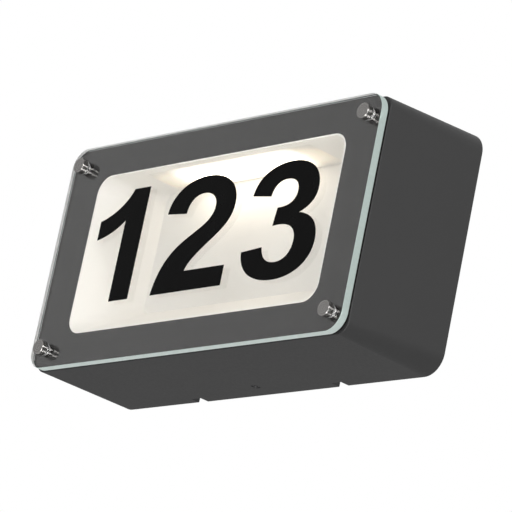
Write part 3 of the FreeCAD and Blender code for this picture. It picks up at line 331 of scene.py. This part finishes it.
def off_middle(tree, place, low, high):
    """How far a place lies from the middle of this stretch: 0 in the middle and 1 at either end."""
    away = add(tree, "ShaderNodeMath", {0: place, 1: (low + high) / 2}, operation="SUBTRACT")
    far = add(tree, "ShaderNodeMath", {0: away.outputs[0]}, operation="ABSOLUTE")
    share = add(tree, "ShaderNodeMath", {0: far.outputs[0], 1: (high - low) / 2},
                operation="DIVIDE")
    return share.outputs[0]


def lit_opal(low, high):
    """Opal sheet between these corners, lit from above and brightest under the row of chips."""
    material, tree, shader = blank("lit_opal", Base_Color=OPAL, Roughness=0.4)
    position = add(tree, "ShaderNodeTexCoord").outputs["Object"]
    place = add(tree, "ShaderNodeSeparateXYZ", {0: position})
    along = off_middle(tree, place.outputs["X"], low.x, high.x)
    across = off_middle(tree, place.outputs["Y"], low.y, high.y)
    tree.links.new(graded(tree, along, GLOW), shader.inputs["Emission Color"])
    spread = {"Value": across, "From Min": GLOW_CORE, "To Min": GLOW_STRENGTH, "To Max": GLOW_RIM}
    fall = add(tree, "ShaderNodeMapRange", spread, interpolation_type="SMOOTHSTEP")
    tree.links.new(fall.outputs[0], shader.inputs["Emission Strength"])
    return material


def mill_aluminium():
    """Rolled aluminium with fine lengthwise rolling lines."""
    material, tree, shader = blank("mill_aluminium", Metallic=1.0)
    lines = grain(tree, size=0.0008, stretch=(0.02, 1, 1))
    sheen = between(tree, lines, low=0.28, high=0.42)
    tree.links.new(between(tree, lines, *MILL_GREY), shader.inputs["Base Color"])
    tree.links.new(sheen, shader.inputs["Roughness"])
    return material


def solder_mask(name, colours):
    """Lacquer over a circuit board, glossy with a faint weave of the board under it."""
    material, tree, shader = blank(name, Roughness=0.28)
    weave = grain(tree, size=0.0007, stretch=(1, 1, 1.6))
    tree.links.new(between(tree, weave, *colours), shader.inputs["Base Color"])
    rough_up(tree, shader, weave, depth=0.00001)
    return material


eased("opal_sheet", "lamp_diffuser", lit_opal(*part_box("lamp_diffuser")), OPAL_EDGE)
eased("light_board", "led_board", solder_mask("white_mask", WHITE_MASK), LIGHT_BOARD_EDGE)
eased("heat_plate", "lamp_heat_plate", mill_aluminium(), HEAT_PLATE_EDGE)
eased("board_screws", "lamp_screws", zinc, SCREW_EDGE)


def phosphor():
    """The yellow phosphor face of a white chip, lit."""
    material, tree, shader = blank("phosphor", Roughness=0.5, Emission_Strength=0.8)
    tone = between(tree, grain(tree, size=0.0006), *PHOSPHOR)
    tree.links.new(tone, shader.inputs["Base Color"])
    tree.links.new(tone, shader.inputs["Emission Color"])
    return material


def shape_tree(name, sizes):
    """A geometry tree with a named number going in for each size, returned with its two ends."""
    tree = bpy.data.node_groups.new(name, "GeometryNodeTree")
    tree.interface.new_socket("Geometry", in_out="INPUT", socket_type="NodeSocketGeometry")
    tree.interface.new_socket("Geometry", in_out="OUTPUT", socket_type="NodeSocketGeometry")
    for label in sizes:
        tree.interface.new_socket(label, in_out="INPUT", socket_type="NodeSocketFloat")
    return tree, tree.nodes.new("NodeGroupInput").outputs, tree.nodes.new("NodeGroupOutput").inputs


def grown(name, tree, sizes, seed=None):
    """What a geometry tree makes of a seed with these sizes, as a plain mesh at the origin."""
    holder = bpy.data.objects.new(name + "_seed", seed or bpy.data.meshes.new(name + "_seed"))
    bpy.context.scene.collection.objects.link(holder)
    modifier = holder.modifiers.new("shape", "NODES")
    modifier.node_group = tree
    for item in tree.interface.items_tree:
        if item.name in sizes:
            modifier[item.identifier] = float(sizes[item.name])
    bpy.context.view_layer.update()
    made = holder.evaluated_get(bpy.context.evaluated_depsgraph_get())
    mesh = bpy.data.meshes.new_from_object(made)
    bpy.data.objects.remove(holder)
    mesh.name = name
    piece = bpy.data.objects.new(name, mesh)
    bpy.context.scene.collection.objects.link(piece)
    return piece


def chip_row_tree(finish):
    """Chips in a level row that is centred on a point: boxes with a flat rim round each face."""
    tree, given, result = shape_tree("chip_row",
                                     ("Pitch", "Length", "Width", "Thick", "Out", "Level"))
    start = add(tree, "ShaderNodeMath", {0: given["Pitch"], 1: -(CHIP_COUNT - 1) / 2},
                operation="MULTIPLY")
    first = add(tree, "ShaderNodeCombineXYZ",
                {0: start.outputs[0], 1: given["Out"], 2: given["Level"]})
    step = add(tree, "ShaderNodeCombineXYZ", {0: given["Pitch"]})
    row = add(tree, "GeometryNodeMeshLine", {
        "Count": CHIP_COUNT, "Start Location": first.outputs[0], "Offset": step.outputs[0]})
    size = add(tree, "ShaderNodeCombineXYZ",
               {0: given["Length"], 1: given["Width"], 2: given["Thick"]})
    box = add(tree, "GeometryNodeMeshCube", {"Size": size.outputs[0]})
    rim = add(tree, "GeometryNodeExtrudeMesh", {"Mesh": box.outputs["Mesh"], "Offset Scale": 0.0})
    chip = add(tree, "GeometryNodeScaleElements", {
        "Geometry": rim.outputs["Mesh"], "Selection": rim.outputs["Top"], "Scale": CHIP_WINDOW})
    copies = add(tree, "GeometryNodeInstanceOnPoints", {
        "Points": row.outputs["Mesh"], "Instance": chip.outputs["Geometry"]})
    real = add(tree, "GeometryNodeRealizeInstances", {"Geometry": copies.outputs["Instances"]})
    painted = add(tree, "GeometryNodeSetMaterial", {
        "Geometry": real.outputs["Geometry"], "Material": finish})
    tree.links.new(painted.outputs["Geometry"], result["Geometry"])
    return tree


chips_low, chips_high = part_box("led_chips")
chips_middle = (chips_low + chips_high) / 2
fitted(grown("chip_row", chip_row_tree(phosphor()), {
    "Pitch": (chips_high.x - chips_low.x - CHIP_SIZE[0]) / (CHIP_COUNT - 1),
    "Length": CHIP_SIZE[0], "Width": CHIP_SIZE[1], "Thick": CHIP_SIZE[2],
    "Out": chips_middle.y, "Level": chips_middle.z}), "led_chips")

# ---- Driver: a black moulded case with a lid, on the back of the tray, and its circuit board.
# Two of the four rear screws go through its ears; the other two hold the supply plug.
LID_EDGE = 0.0004
CIRCUIT_EDGE = 0.0002
BLACK_PLASTIC = ((0.011, 0.011, 0.012, 1), (0.016, 0.016, 0.017, 1))
GREEN_MASK = ((0.02, 0.10, 0.045, 1), (0.03, 0.15, 0.07, 1))
black_case = moulded("moulded_black", BLACK_PLASTIC, roughness=0.5, texture=0.00004)
eased("driver_shell", "driver_case", black_case, MOULDED_EDGE)
eased("driver_cover", "driver_lid", black_case, LID_EDGE)
eased("driver_circuit", "driver_board", solder_mask("green_mask", GREEN_MASK), CIRCUIT_EDGE)
eased("rear_fixings", "rear_screws", zinc, SCREW_EDGE)

# ---- Supply plug and wiring: the plug's three brass pins meet the socket when the housing goes on.
# Short leads run from it through a nylon clip to the driver, and to a ring tag at the earth screw.
# Two more go up from the driver to the light board. All are held at both ends inside the housing.
TAG_EDGE = 0.0001
WIRE_SHADE = 0.85
STRIPE_SIDE = 0.35
eased("supply_plug_block", "supply_plug", white_nylon, MOULDED_EDGE)
eased("contact_pins", "plug_pins", brass)
eased("wire_clip", "lead_clip", white_nylon, MOULDED_EDGE)
eased("ring_tag", "earth_tag", brass, TAG_EDGE)
eased("housing_earth", "housing_earth_screw", zinc, SCREW_EDGE)


def sleeve(name, colour, stripe=None):
    """Extruded wire insulation, slightly glossy; a stripe follows one side of the wire."""
    material, tree, shader = blank(name, Roughness=0.38)
    darker = tuple(WIRE_SHADE * part for part in colour[:3]) + (1,)
    shade = between(tree, grain(tree, size=0.002), darker, colour)
    if stripe:
        normal = add(tree, "ShaderNodeTexCoord").outputs["Normal"]
        facing = add(tree, "ShaderNodeSeparateXYZ", {0: normal})
        side = add(tree, "ShaderNodeMath", {0: facing.outputs["X"], 1: STRIPE_SIDE},
                   operation="GREATER_THAN")
        mix = add(tree, "ShaderNodeMix", {0: side.outputs[0], 6: shade, 7: stripe},
                  data_type="RGBA")
        shade = mix.outputs[2]
    tree.links.new(shade, shader.inputs["Base Color"])
    rough_up(tree, shader, grain(tree, size=0.0003), depth=0.00001)
    return material


for name, node, colour, stripe in (
        ("live_wire", "lead_live", (0.10, 0.035, 0.012, 1), None),
        ("neutral_wire", "lead_neutral", (0.02, 0.10, 0.38, 1), None),
        ("earth_wire", "lead_earth", (0.05, 0.26, 0.04, 1), (0.72, 0.60, 0.05, 1)),
        ("light_wire_plus", "led_lead_plus", (0.42, 0.02, 0.015, 1), None),
        ("light_wire_minus", "led_lead_minus", (0.014, 0.014, 0.015, 1), None)):
    eased(name, node, sleeve(name + "_sleeve", colour, stripe))

# ---- Glass gasket: a die-cut sheet between housing and glass, which shows through the glass.
# It is dark closed-cell foam, and its front stands a hair off the glass where air gets in.
# The lower edge of its window stands a little high, so it covers most of the tray's rim there.
GASKET_GREY = ((0.0125, 0.0112, 0.0108, 1), (0.0145, 0.0132, 0.0128, 1))
AIR_FILM = 0.00008
WINDOW_SIDE = 0.105
WINDOW_FOOT = -0.0495
WINDOW_ARC = -0.038
RIM_COVER = 0.0009


def foam_sheet():
    """Smooth foam sheet, matt, with very fine cells."""
    material, tree, shader = blank("grey_foam", Roughness=0.8, Specular_IOR_Level=0.1)
    clouds = between(tree, grain(tree, size=0.02, detail=2.0), *GASKET_GREY)
    tree.links.new(clouds, shader.inputs["Base Color"])
    rough_up(tree, shader, grain(tree, size=0.0003), depth=0.00002)
    return material


gasket = eased("front_gasket", "glass_gasket", foam_sheet())
gasket_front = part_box("glass_gasket")[0].y
for corner in gasket.data.vertices:
    if corner.co.y - gasket_front < AIR_FILM:
        corner.co.y += AIR_FILM
    if abs(corner.co.x) < WINDOW_SIDE and WINDOW_FOOT < corner.co.z < WINDOW_ARC:
        corner.co.z += RIM_COVER

# ---- Front glass: one sheet of clear 5 mm float glass with round corners and four drilled holes.
# Its faces are polished, and its edges are ground matt, where the glass's green shows.
# A small arris runs along every edge. The wide one round the back is coloured dark teal: painted
# shade of the gap between glass and housing.
CORNER_RADIUS = 0.011
CORNER_STEPS = 24
HOLE_RADIUS = 0.003
HOLE_STEPS = 40
HOLE_REACH = 1.5
ARRIS = 0.0002
ARRIS_STEPS = 2
BACK_ARRIS = 0.0005
CAP_WIDE = 0.009
POLISHED = 0.999
GROUND_SLOT = 1
PAINTED_SHADE_SLOT = 2
GLASS_INDEX = 1.52
CLEAR = (0.992, 0.994, 0.990, 1)
GROUND = ((0.33, 0.48, 0.43, 1), (0.40, 0.55, 0.50, 1))
# Painted light: the lighter neutral grey the ground edge shows from inside the glass.
GROUND_WITHIN_PAINTED_LIGHT = (0.52, 0.52, 0.51, 1)
# The ground edge's painted glow: it emits light though it is no lamp, most where it faces down.
EDGE_PAINTED_GLOW = (0.95, 0.95, 0.94, 1)
SIDE_PAINTED_GLOW = 0.21
LOWER_PAINTED_GLOW = 0.31
PAINTED_GLOW_FACING = (-1.0, -0.2)
# Dark teal painted shade for the wide back arris.
ARRIS_PAINTED_SHADE = (0.012, 0.035, 0.03, 1)


def float_glass():
    """Clear float glass, very slightly green."""
    return blank("float_glass", Base_Color=CLEAR, Roughness=0.0, IOR=GLASS_INDEX,
                 Transmission_Weight=1.0)[0]


def ground_glass():
    """The sheet's ground edge: pale green and matt, with a painted glow on it.

    The glow is painted light, emitted by the edge itself, and is strongest where the edge faces
    down. Seen from inside the glass, the edge is painted a lighter neutral grey, painted light from
    outside.
    """
    material, tree, shader = blank("ground_glass", Roughness=0.6, IOR=GLASS_INDEX,
                                   Transmission_Weight=0.25, Emission_Color=EDGE_PAINTED_GLOW)
    normal = add(tree, "ShaderNodeTexCoord").outputs["Normal"]
    facing = add(tree, "ShaderNodeSeparateXYZ", {0: normal})
    # Painted glow, stronger on the edge that faces down.
    painted_glow = add(tree, "ShaderNodeMapRange", {
        "Value": facing.outputs["Z"], "From Min": PAINTED_GLOW_FACING[0], "From Max": PAINTED_GLOW_FACING[1],
        "To Min": LOWER_PAINTED_GLOW, "To Max": SIDE_PAINTED_GLOW})
    tree.links.new(painted_glow.outputs[0], shader.inputs["Emission Strength"])
    outside = between(tree, grain(tree, size=0.0015), *GROUND)
    # Seen from inside the glass, the edge is painted a lighter neutral grey: painted light from
    # outside.
    inside = add(tree, "ShaderNodeNewGeometry").outputs["Backfacing"]
    shade = add(tree, "ShaderNodeMix", {0: inside, 6: outside, 7: GROUND_WITHIN_PAINTED_LIGHT}, data_type="RGBA")
    tree.links.new(shade.outputs[2], shader.inputs["Base Color"])
    rough_up(tree, shader, grain(tree, size=0.0003), depth=0.00002)
    return material


def stood_up(tree, level, depth):
    """The level shape turned upright to face away from the wall, its foot at this depth along Y."""
    place = add(tree, "ShaderNodeCombineXYZ", {1: depth})
    stood = add(tree, "GeometryNodeTransform", {
        "Geometry": level, "Translation": place.outputs[0], "Rotation": (math.radians(90), 0, 0)})
    return stood.outputs["Geometry"]


def corner_spots(tree, given):
    """One point near each corner of the sheet, level in the XY plane, where its fixings go."""
    return add(tree, "GeometryNodeMeshGrid", {
        "Size X": given["Pitch X"], "Size Y": given["Pitch Z"], "Vertices X": 2, "Vertices Y": 2})


def glass_tree(polished, ground):
    """A sheet with round corners and a hole near each, grown level and then stood upright.

    Its walls are ground, apart from those that lie near the middle of a hole.
    """
    tree, given, result = shape_tree("drilled_sheet", (
        "Width", "Height", "Thick", "Corner", "Pitch X", "Pitch Z", "Hole", "Front"))
    outline = add(tree, "GeometryNodeCurvePrimitiveQuadrilateral", {
        "Width": given["Width"], "Height": given["Height"]})
    rounded = add(tree, "GeometryNodeFilletCurve", {
        "Curve": outline.outputs["Curve"], "Count": CORNER_STEPS, "Radius": given["Corner"]},
        mode="POLY")
    drill = add(tree, "GeometryNodeCurvePrimitiveCircle", {
        "Resolution": HOLE_STEPS, "Radius": given["Hole"]})
    spots = corner_spots(tree, given)
    holes = add(tree, "GeometryNodeInstanceOnPoints", {
        "Points": spots.outputs["Mesh"], "Instance": drill.outputs["Curve"]})
    lines = add(tree, "GeometryNodeJoinGeometry")
    tree.links.new(holes.outputs["Instances"], lines.inputs[0])
    tree.links.new(rounded.outputs["Curve"], lines.inputs[0])
    whole = add(tree, "GeometryNodeRealizeInstances", {"Geometry": lines.outputs[0]})
    back = add(tree, "GeometryNodeFillCurve", {"Curve": whole.outputs["Geometry"]},
               mode="TRIANGLES")
    rise = add(tree, "ShaderNodeCombineXYZ", {2: given["Thick"]})
    raised = add(tree, "GeometryNodeExtrudeMesh", {
        "Mesh": back.outputs["Mesh"], "Offset": rise.outputs[0], "Offset Scale": 1.0,
        "Individual": False})
    turned_back = add(tree, "GeometryNodeFlipFaces", {"Mesh": back.outputs["Mesh"]})
    back_face = add(tree, "GeometryNodeSetMaterial", {
        "Geometry": turned_back.outputs["Mesh"], "Material": polished})
    front = add(tree, "GeometryNodeSetMaterial", {
        "Geometry": raised.outputs["Mesh"], "Material": polished})
    position = add(tree, "GeometryNodeInputPosition").outputs[0]
    level = add(tree, "ShaderNodeVectorMath", {0: position, 1: (1, 1, 0)}, operation="MULTIPLY")
    near = add(tree, "GeometryNodeProximity", {
        "Geometry": spots.outputs["Mesh"], "Sample Position": level.outputs[0]},
        target_element="POINTS")
    reach = add(tree, "ShaderNodeMath", {0: given["Hole"], 1: HOLE_REACH}, operation="MULTIPLY")
    outer = add(tree, "ShaderNodeMath", {0: near.outputs["Distance"], 1: reach.outputs[0]},
                operation="GREATER_THAN")
    rim = add(tree, "FunctionNodeBooleanMath", {0: raised.outputs["Side"], 1: outer.outputs[0]},
              operation="AND")
    sides = add(tree, "GeometryNodeSetMaterial", {
        "Geometry": front.outputs["Geometry"], "Material": ground, "Selection": rim.outputs[0]})
    both = add(tree, "GeometryNodeJoinGeometry")
    tree.links.new(sides.outputs["Geometry"], both.inputs[0])
    tree.links.new(back_face.outputs["Geometry"], both.inputs[0])
    shut = add(tree, "GeometryNodeMergeByDistance", {
        "Geometry": both.outputs[0], "Distance": SAME_POINT})
    behind = add(tree, "ShaderNodeMath", {0: given["Front"], 1: given["Thick"]}, operation="ADD")
    upright = stood_up(tree, shut.outputs["Geometry"], behind.outputs[0])
    tree.links.new(upright, result["Geometry"])
    return tree


glass_low, glass_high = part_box("glass_panel")
caps_low, caps_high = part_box("screw_caps")
CAP_PITCH_X = caps_high.x - caps_low.x - CAP_WIDE
CAP_PITCH_Z = caps_high.z - caps_low.z - CAP_WIDE
pane = grown("glass_sheet", glass_tree(float_glass(), ground_glass()), {
    "Width": glass_high.x - glass_low.x, "Height": glass_high.z - glass_low.z,
    "Thick": glass_high.y - glass_low.y, "Front": glass_low.y,
    "Corner": CORNER_RADIUS, "Hole": HOLE_RADIUS, "Pitch X": CAP_PITCH_X, "Pitch Z": CAP_PITCH_Z})
# A dark teal material for the back arris: painted shade of the gap behind the glass.
pane.data.materials.append(blank("painted_shade_arris", Base_Color=ARRIS_PAINTED_SHADE, Roughness=0.3)[0])
sheet = bmesh.new()
sheet.from_mesh(pane.data)
brinks = [edge for edge in sheet.edges if edge.calc_face_angle(0) > SHARP]
behind = [edge for edge in brinks
          if min(corner.co.y for corner in edge.verts) > glass_high.y - SAME_POINT
          and any(face.material_index == GROUND_SLOT for face in edge.link_faces)]
others = [edge for edge in brinks if edge not in behind]
bmesh.ops.bevel(sheet, geom=behind, offset=BACK_ARRIS, segments=1, profile=0.5, affect="EDGES",
                material=PAINTED_SHADE_SLOT)
bmesh.ops.bevel(sheet, geom=others, offset=ARRIS, segments=ARRIS_STEPS, profile=0.5, affect="EDGES",
                material=GROUND_SLOT)
for face in sheet.faces:
    face.smooth = abs(face.normal.y) < POLISHED
for edge in sheet.edges:
    edge.smooth = edge.calc_face_angle(0) < SHARP
sheet.to_mesh(pane.data)
sheet.free()
fitted(pane, "glass_panel")

# ---- Digits: plain figures cut from satin black film and stuck on the front of the glass.
# The film is 0.2 mm thick; its glue wets the glass, so its back lies a hair inside the glass face.
FILM = ((0.003, 0.003, 0.003, 1), (0.004, 0.004, 0.004, 1))
WETTING = 0.00002


def vinyl():
    """Cast vinyl film, satin black, slightly uneven from the squeegee."""
    material, tree, shader = blank("cut_vinyl", Specular_IOR_Level=0.08)
    clouds = between(tree, grain(tree, size=0.01), *FILM)
    sheen = between(tree, grain(tree, size=0.02), low=0.22, high=0.28)
    tree.links.new(clouds, shader.inputs["Base Color"])
    tree.links.new(sheen, shader.inputs["Roughness"])
    rough_up(tree, shader, grain(tree, size=0.004), depth=0.00001)
    return material


black_vinyl = vinyl()
for number in (1, 2, 3):
    figure = eased(f"figure_{number}", f"digit_{number}", black_vinyl)
    for corner in figure.data.vertices:
        if abs(corner.co.y - glass_low.y) < WETTING:
            corner.co.y += WETTING

# ---- Glass fixings: at each corner a zinc plated stud, a clear sleeve round it in the glass hole,
# a clear washer on the glass and a stainless steel cap screwed on the stud.
# The cap is turned: fine rings run round its face and barrel, and its front edge is rolled over.
CAP_ROUND = 0.0003
CAP_FOOT = 0.0002
CAP_HOLD = 0.00006
CAP_STEPS = 64
ARC_STEPS = 6
BORE_RADIUS = 0.002
BORE_DEPTH = 0.0024
DIMPLE = 0.0003
LATHE_MARKS = (0.5, 90, 1)
LATHE_DEPTH = 0.000006
WASHER_EDGE = 0.0001
STUD_EDGE = 0.0002
TURNED_STEEL = (0.48, 0.465, 0.45, 1)
CLEAR_NYLON = (0.93, 0.93, 0.91, 1)


def quarter(out, along, radius, start):
    """Points of a quarter circle about (out, along), from this angle on by a right angle."""
    turns = [start + math.pi / 2 * step / ARC_STEPS for step in range(ARC_STEPS + 1)]
    return [(out + radius * math.cos(turn), along + radius * math.sin(turn)) for turn in turns]


def turned(name, profile):
    """A seed turned about the Y axis from a profile of points (off the axis, away from the wall).

    Its UV map has the way round as u and the way along the profile as v.
    """
    shape = bmesh.new()
    rings = []
    for off, along in profile:
        angles = [math.tau * step / CAP_STEPS for step in range(CAP_STEPS if off else 1)]
        rings.append([shape.verts.new((off * math.cos(angle), -along, off * math.sin(angle)))
                      for angle in angles])
    layer = shape.loops.layers.uv.new("lathe")
    for level, (near, far) in enumerate(zip(rings, rings[1:])):
        for step in range(CAP_STEPS):
            used = {}
            for ring, turn, row in ((near, step, level), (near, step + 1, level),
                                    (far, step + 1, level + 1), (far, step, level + 1)):
                used.setdefault(ring[turn % len(ring)], (turn, row))
            face = shape.faces.new(list(used))
            face.smooth = True
            for loop, (turn, row) in zip(face.loops, used.values()):
                loop[layer].uv = (turn / CAP_STEPS, row / len(rings))
    bmesh.ops.recalc_face_normals(shape, faces=shape.faces)
    for edge in shape.edges:
        edge.smooth = edge.calc_face_angle(0) < SHARP
    mesh = bpy.data.meshes.new(name + "_seed")
    shape.to_mesh(mesh)
    shape.free()
    return mesh


def turned_steel(name, pull, low, high):
    """Stainless steel whose lathe marks run round the cap's axis and draw its highlights out."""
    material, tree, shader = blank(name, Base_Color=TURNED_STEEL, Metallic=1.0, Anisotropic=pull,
                                   Anisotropic_Rotation=0.25)
    tangent = add(tree, "ShaderNodeTangent", direction_type="UV_MAP", uv_map="lathe")
    tree.links.new(tangent.outputs[0], shader.inputs["Tangent"])
    place = add(tree, "ShaderNodeUVMap", uv_map="lathe")
    rings = add(tree, "ShaderNodeMapping", {"Vector": place.outputs[0], "Scale": LATHE_MARKS})
    marks = add(tree, "ShaderNodeTexNoise",
                {"Vector": rings.outputs[0], "Scale": 1.0, "Detail": 2.0})
    tree.links.new(between(tree, marks.outputs["Fac"], low, high), shader.inputs["Roughness"])
    rough_up(tree, shader, marks.outputs["Fac"], LATHE_DEPTH)
    return material


def corner_tree(finish, face):
    """A copy of the seed at each fixing point of the glass, its flat front in the second finish."""
    tree, given, result = shape_tree("four_corners", ("Pitch X", "Pitch Z", "Foot"))
    spots = stood_up(tree, corner_spots(tree, given).outputs["Mesh"], given["Foot"])
    copies = add(tree, "GeometryNodeInstanceOnPoints", {
        "Points": spots, "Instance": given["Geometry"]})
    real = add(tree, "GeometryNodeRealizeInstances", {"Geometry": copies.outputs["Instances"]})
    painted = add(tree, "GeometryNodeSetMaterial", {
        "Geometry": real.outputs["Geometry"], "Material": finish})
    normal = add(tree, "GeometryNodeInputNormal").outputs[0]
    facing = add(tree, "ShaderNodeSeparateXYZ", {0: normal})
    front = add(tree, "ShaderNodeMath", {0: facing.outputs["Y"], 1: -POLISHED},
                operation="LESS_THAN")
    faced = add(tree, "GeometryNodeSetMaterial", {
        "Geometry": painted.outputs["Geometry"], "Material": face, "Selection": front.outputs[0]})
    tree.links.new(faced.outputs["Geometry"], result["Geometry"])
    return tree


def at_corners(name, node, profile, finish, face):
    """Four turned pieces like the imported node's, standing on its face nearest to the wall."""
    sizes = {"Pitch X": CAP_PITCH_X, "Pitch Z": CAP_PITCH_Z, "Foot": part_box(node)[1].y}
    return fitted(grown(name, corner_tree(finish, face), sizes, turned(name, profile)), node)


barrel_steel = turned_steel("turned_barrel", pull=0.6, low=0.14, high=0.2)
face_steel = turned_steel("turned_face", pull=0.2, low=0.24, high=0.3)
radius = CAP_WIDE / 2
height = caps_high.y - caps_low.y
cap_profile = [(0, BORE_DEPTH), (BORE_RADIUS, BORE_DEPTH), (BORE_RADIUS, 0), (radius - CAP_FOOT, 0)]
cap_profile += quarter(radius - CAP_FOOT, CAP_FOOT, CAP_FOOT, -math.pi / 2)
cap_profile += [(radius, CAP_FOOT + CAP_HOLD), (radius, height - CAP_ROUND - CAP_HOLD)]
cap_profile += quarter(radius - CAP_ROUND, height - CAP_ROUND, CAP_ROUND, 0)
cap_profile += [(radius - CAP_ROUND - CAP_HOLD, height), (2 * DIMPLE, height), (DIMPLE, height)]
cap_profile += [(0, height - DIMPLE / 2)]
at_corners("turned_caps", "screw_caps", cap_profile, barrel_steel, face_steel)


def clear_nylon():
    """Natural nylon, nearly clear in this thickness."""
    material, tree, shader = blank("clear_nylon", Base_Color=CLEAR_NYLON, IOR=1.5,
                                   Transmission_Weight=0.6)
    sheen = between(tree, grain(tree, size=0.0015), low=0.25, high=0.35)
    tree.links.new(sheen, shader.inputs["Roughness"])
    return material


natural_nylon = clear_nylon()
eased("hole_sleeves", "glass_sleeves", natural_nylon)
eased("clear_washers", "cap_washers", natural_nylon, WASHER_EDGE)
eased("threaded_studs", "glass_studs", zinc, STUD_EDGE)

# ---- Studio: a pale floor far below, soft lamps and a white surround.
# The camera sees the surround white, also through the glass, and it lights matt faces evenly.
# To polished faces it is dark in front but for one pale card, and behind it brightens upwards.
FLOOR_LEVEL = -2.5
FLOOR_HALF = 4.0
FLOOR_CORNERS = ((-1, -1), (1, -1), (1, 1), (-1, 1))
FLOOR_GREY = (0.78, 0.78, 0.78, 1)
SURROUND = 0.6
GLOSS_FRONT = 0.04
GLOSS_BELOW = 0.2
GLOSS_ABOVE = 0.9
GLOSS_RISE = (-0.4, 0.3)
GLOSS_TURN = (-0.1, 0.4)
CARD_TOWARDS = (-0.734, -0.607, 0.305)
CARD = tuple((near, (white, white, white, 1)) for near, white in (
    (0.3, GLOSS_FRONT), (0.6, 0.52), (0.8, 0.66), (0.94, 0.38)))

floor_mesh = bpy.data.meshes.new("studio_floor")
corners = [(x * FLOOR_HALF, y * FLOOR_HALF, FLOOR_LEVEL) for x, y in FLOOR_CORNERS]
floor_mesh.from_pydata(corners, [], [range(len(corners))])
floor = bpy.data.objects.new("studio_floor", floor_mesh)
bpy.context.scene.collection.objects.link(floor)
floor_mesh.materials.append(blank("pale_floor", Base_Color=FLOOR_GREY, Roughness=0.9)[0])

world = bpy.data.worlds.new("surround")
bpy.context.scene.world = world
world.use_nodes = True
air = world.node_tree
rays = add(air, "ShaderNodeLightPath").outputs
towards = add(air, "ShaderNodeTexCoord").outputs["Generated"]
looking = add(air, "ShaderNodeSeparateXYZ", {0: towards})
rear = add(air, "ShaderNodeMapRange", {
    "Value": looking.outputs["Z"], "From Min": GLOSS_RISE[0], "From Max": GLOSS_RISE[1],
    "To Min": GLOSS_BELOW, "To Max": GLOSS_ABOVE})
turn = add(air, "ShaderNodeMapRange", {
    "Value": looking.outputs["Y"], "From Min": GLOSS_TURN[0], "From Max": GLOSS_TURN[1]})
near_card = add(air, "ShaderNodeVectorMath", {0: towards, 1: CARD_TOWARDS}, operation="DOT_PRODUCT")
card = graded(air, near_card.outputs["Value"], CARD)
room = add(air, "ShaderNodeMix", {0: turn.outputs[0], 2: card, 3: rear.outputs[0]})
gloss = add(air, "ShaderNodeMix", {0: rays["Is Glossy Ray"], 2: SURROUND, 3: room.outputs[0]})
seen = add(air, "ShaderNodeMath", {0: rays["Is Camera Ray"], 1: rays["Is Transmission Ray"]},
           operation="MAXIMUM")
strength = add(air, "ShaderNodeMix", {0: seen.outputs[0], 2: gloss.outputs[0], 3: 1.0})
backdrop = air.nodes["Background"]
backdrop.inputs["Color"].default_value = (1, 1, 1, 1)
air.links.new(strength.outputs[0], backdrop.inputs["Strength"])

# Each lamp's name, place, width, length and watts, and whether matt and polished faces see it.
# All point at the origin, behind the middle of the sign. The strips stand to its right and only
# draw bright lines on the caps: two along each barrel, and one on its rim.
LAMPS = (
    ("key_softbox", (0.3, -2.6, 1.3), 2.6, 2.6, 16, True, False),
    ("side_fill", (1.6, -0.5, -0.9), 1.2, 1.2, 3, True, True),
    ("upper_strip", (1.16, -0.70, 0.29), 0.40, 1.2, 13, False, True),
    ("lower_strip", (0.62, -0.70, -1.03), 0.40, 1.2, 13, False, True),
    ("rim_strip", (1.11, -0.38, -0.45), 1.4, 0.15, 7, False, True),
)


def placed(place, across, upward, backward):
    """The matrix of a lamp or camera at this place, from its own three directions."""
    return Matrix.Translation(place) @ Matrix((across, upward, backward)).transposed().to_4x4()


for name, place, width, length, watts, matt, polished in LAMPS:
    light = bpy.data.lights.new(name, "AREA")
    light.energy = watts
    light.shape = "RECTANGLE"
    light.size = width
    light.size_y = length
    lamp = bpy.data.objects.new(name, light)
    facing = Vector(place).normalized()
    side = facing.cross(Vector((0, 1, 0))).normalized()
    lamp.matrix_world = placed(place, side, facing.cross(side), facing)
    lamp.visible_camera = False
    lamp.visible_diffuse = matt
    lamp.visible_glossy = polished
    bpy.context.scene.collection.objects.link(lamp)

# The camera stands low to the right of the sign, rolled a little, as in the photograph.
AIM = Vector((0.051732, -0.075, -0.018182))
AWAY = 1.933632
AROUND = math.radians(50.56)
BELOW = math.radians(-17.871)
ROLL = math.radians(11.649)
LENS = 250.92
SENSOR = 36
backward = Vector((math.sin(AROUND) * math.cos(BELOW), -math.cos(AROUND) * math.cos(BELOW),
                   math.sin(BELOW)))
level = Vector((math.cos(AROUND), math.sin(AROUND), 0))
upright = backward.cross(level)
right = level * math.cos(ROLL) + upright * math.sin(ROLL)
above = upright * math.cos(ROLL) - level * math.sin(ROLL)
view = bpy.data.cameras.new("camera")
view.lens = LENS
view.sensor_width = SENSOR
camera = bpy.data.objects.new("camera", view)
camera.matrix_world = placed(AIM + AWAY * backward, right, above, backward)
bpy.context.scene.collection.objects.link(camera)
bpy.context.scene.camera = camera
bpy.context.scene.view_settings.view_transform = "Standard"
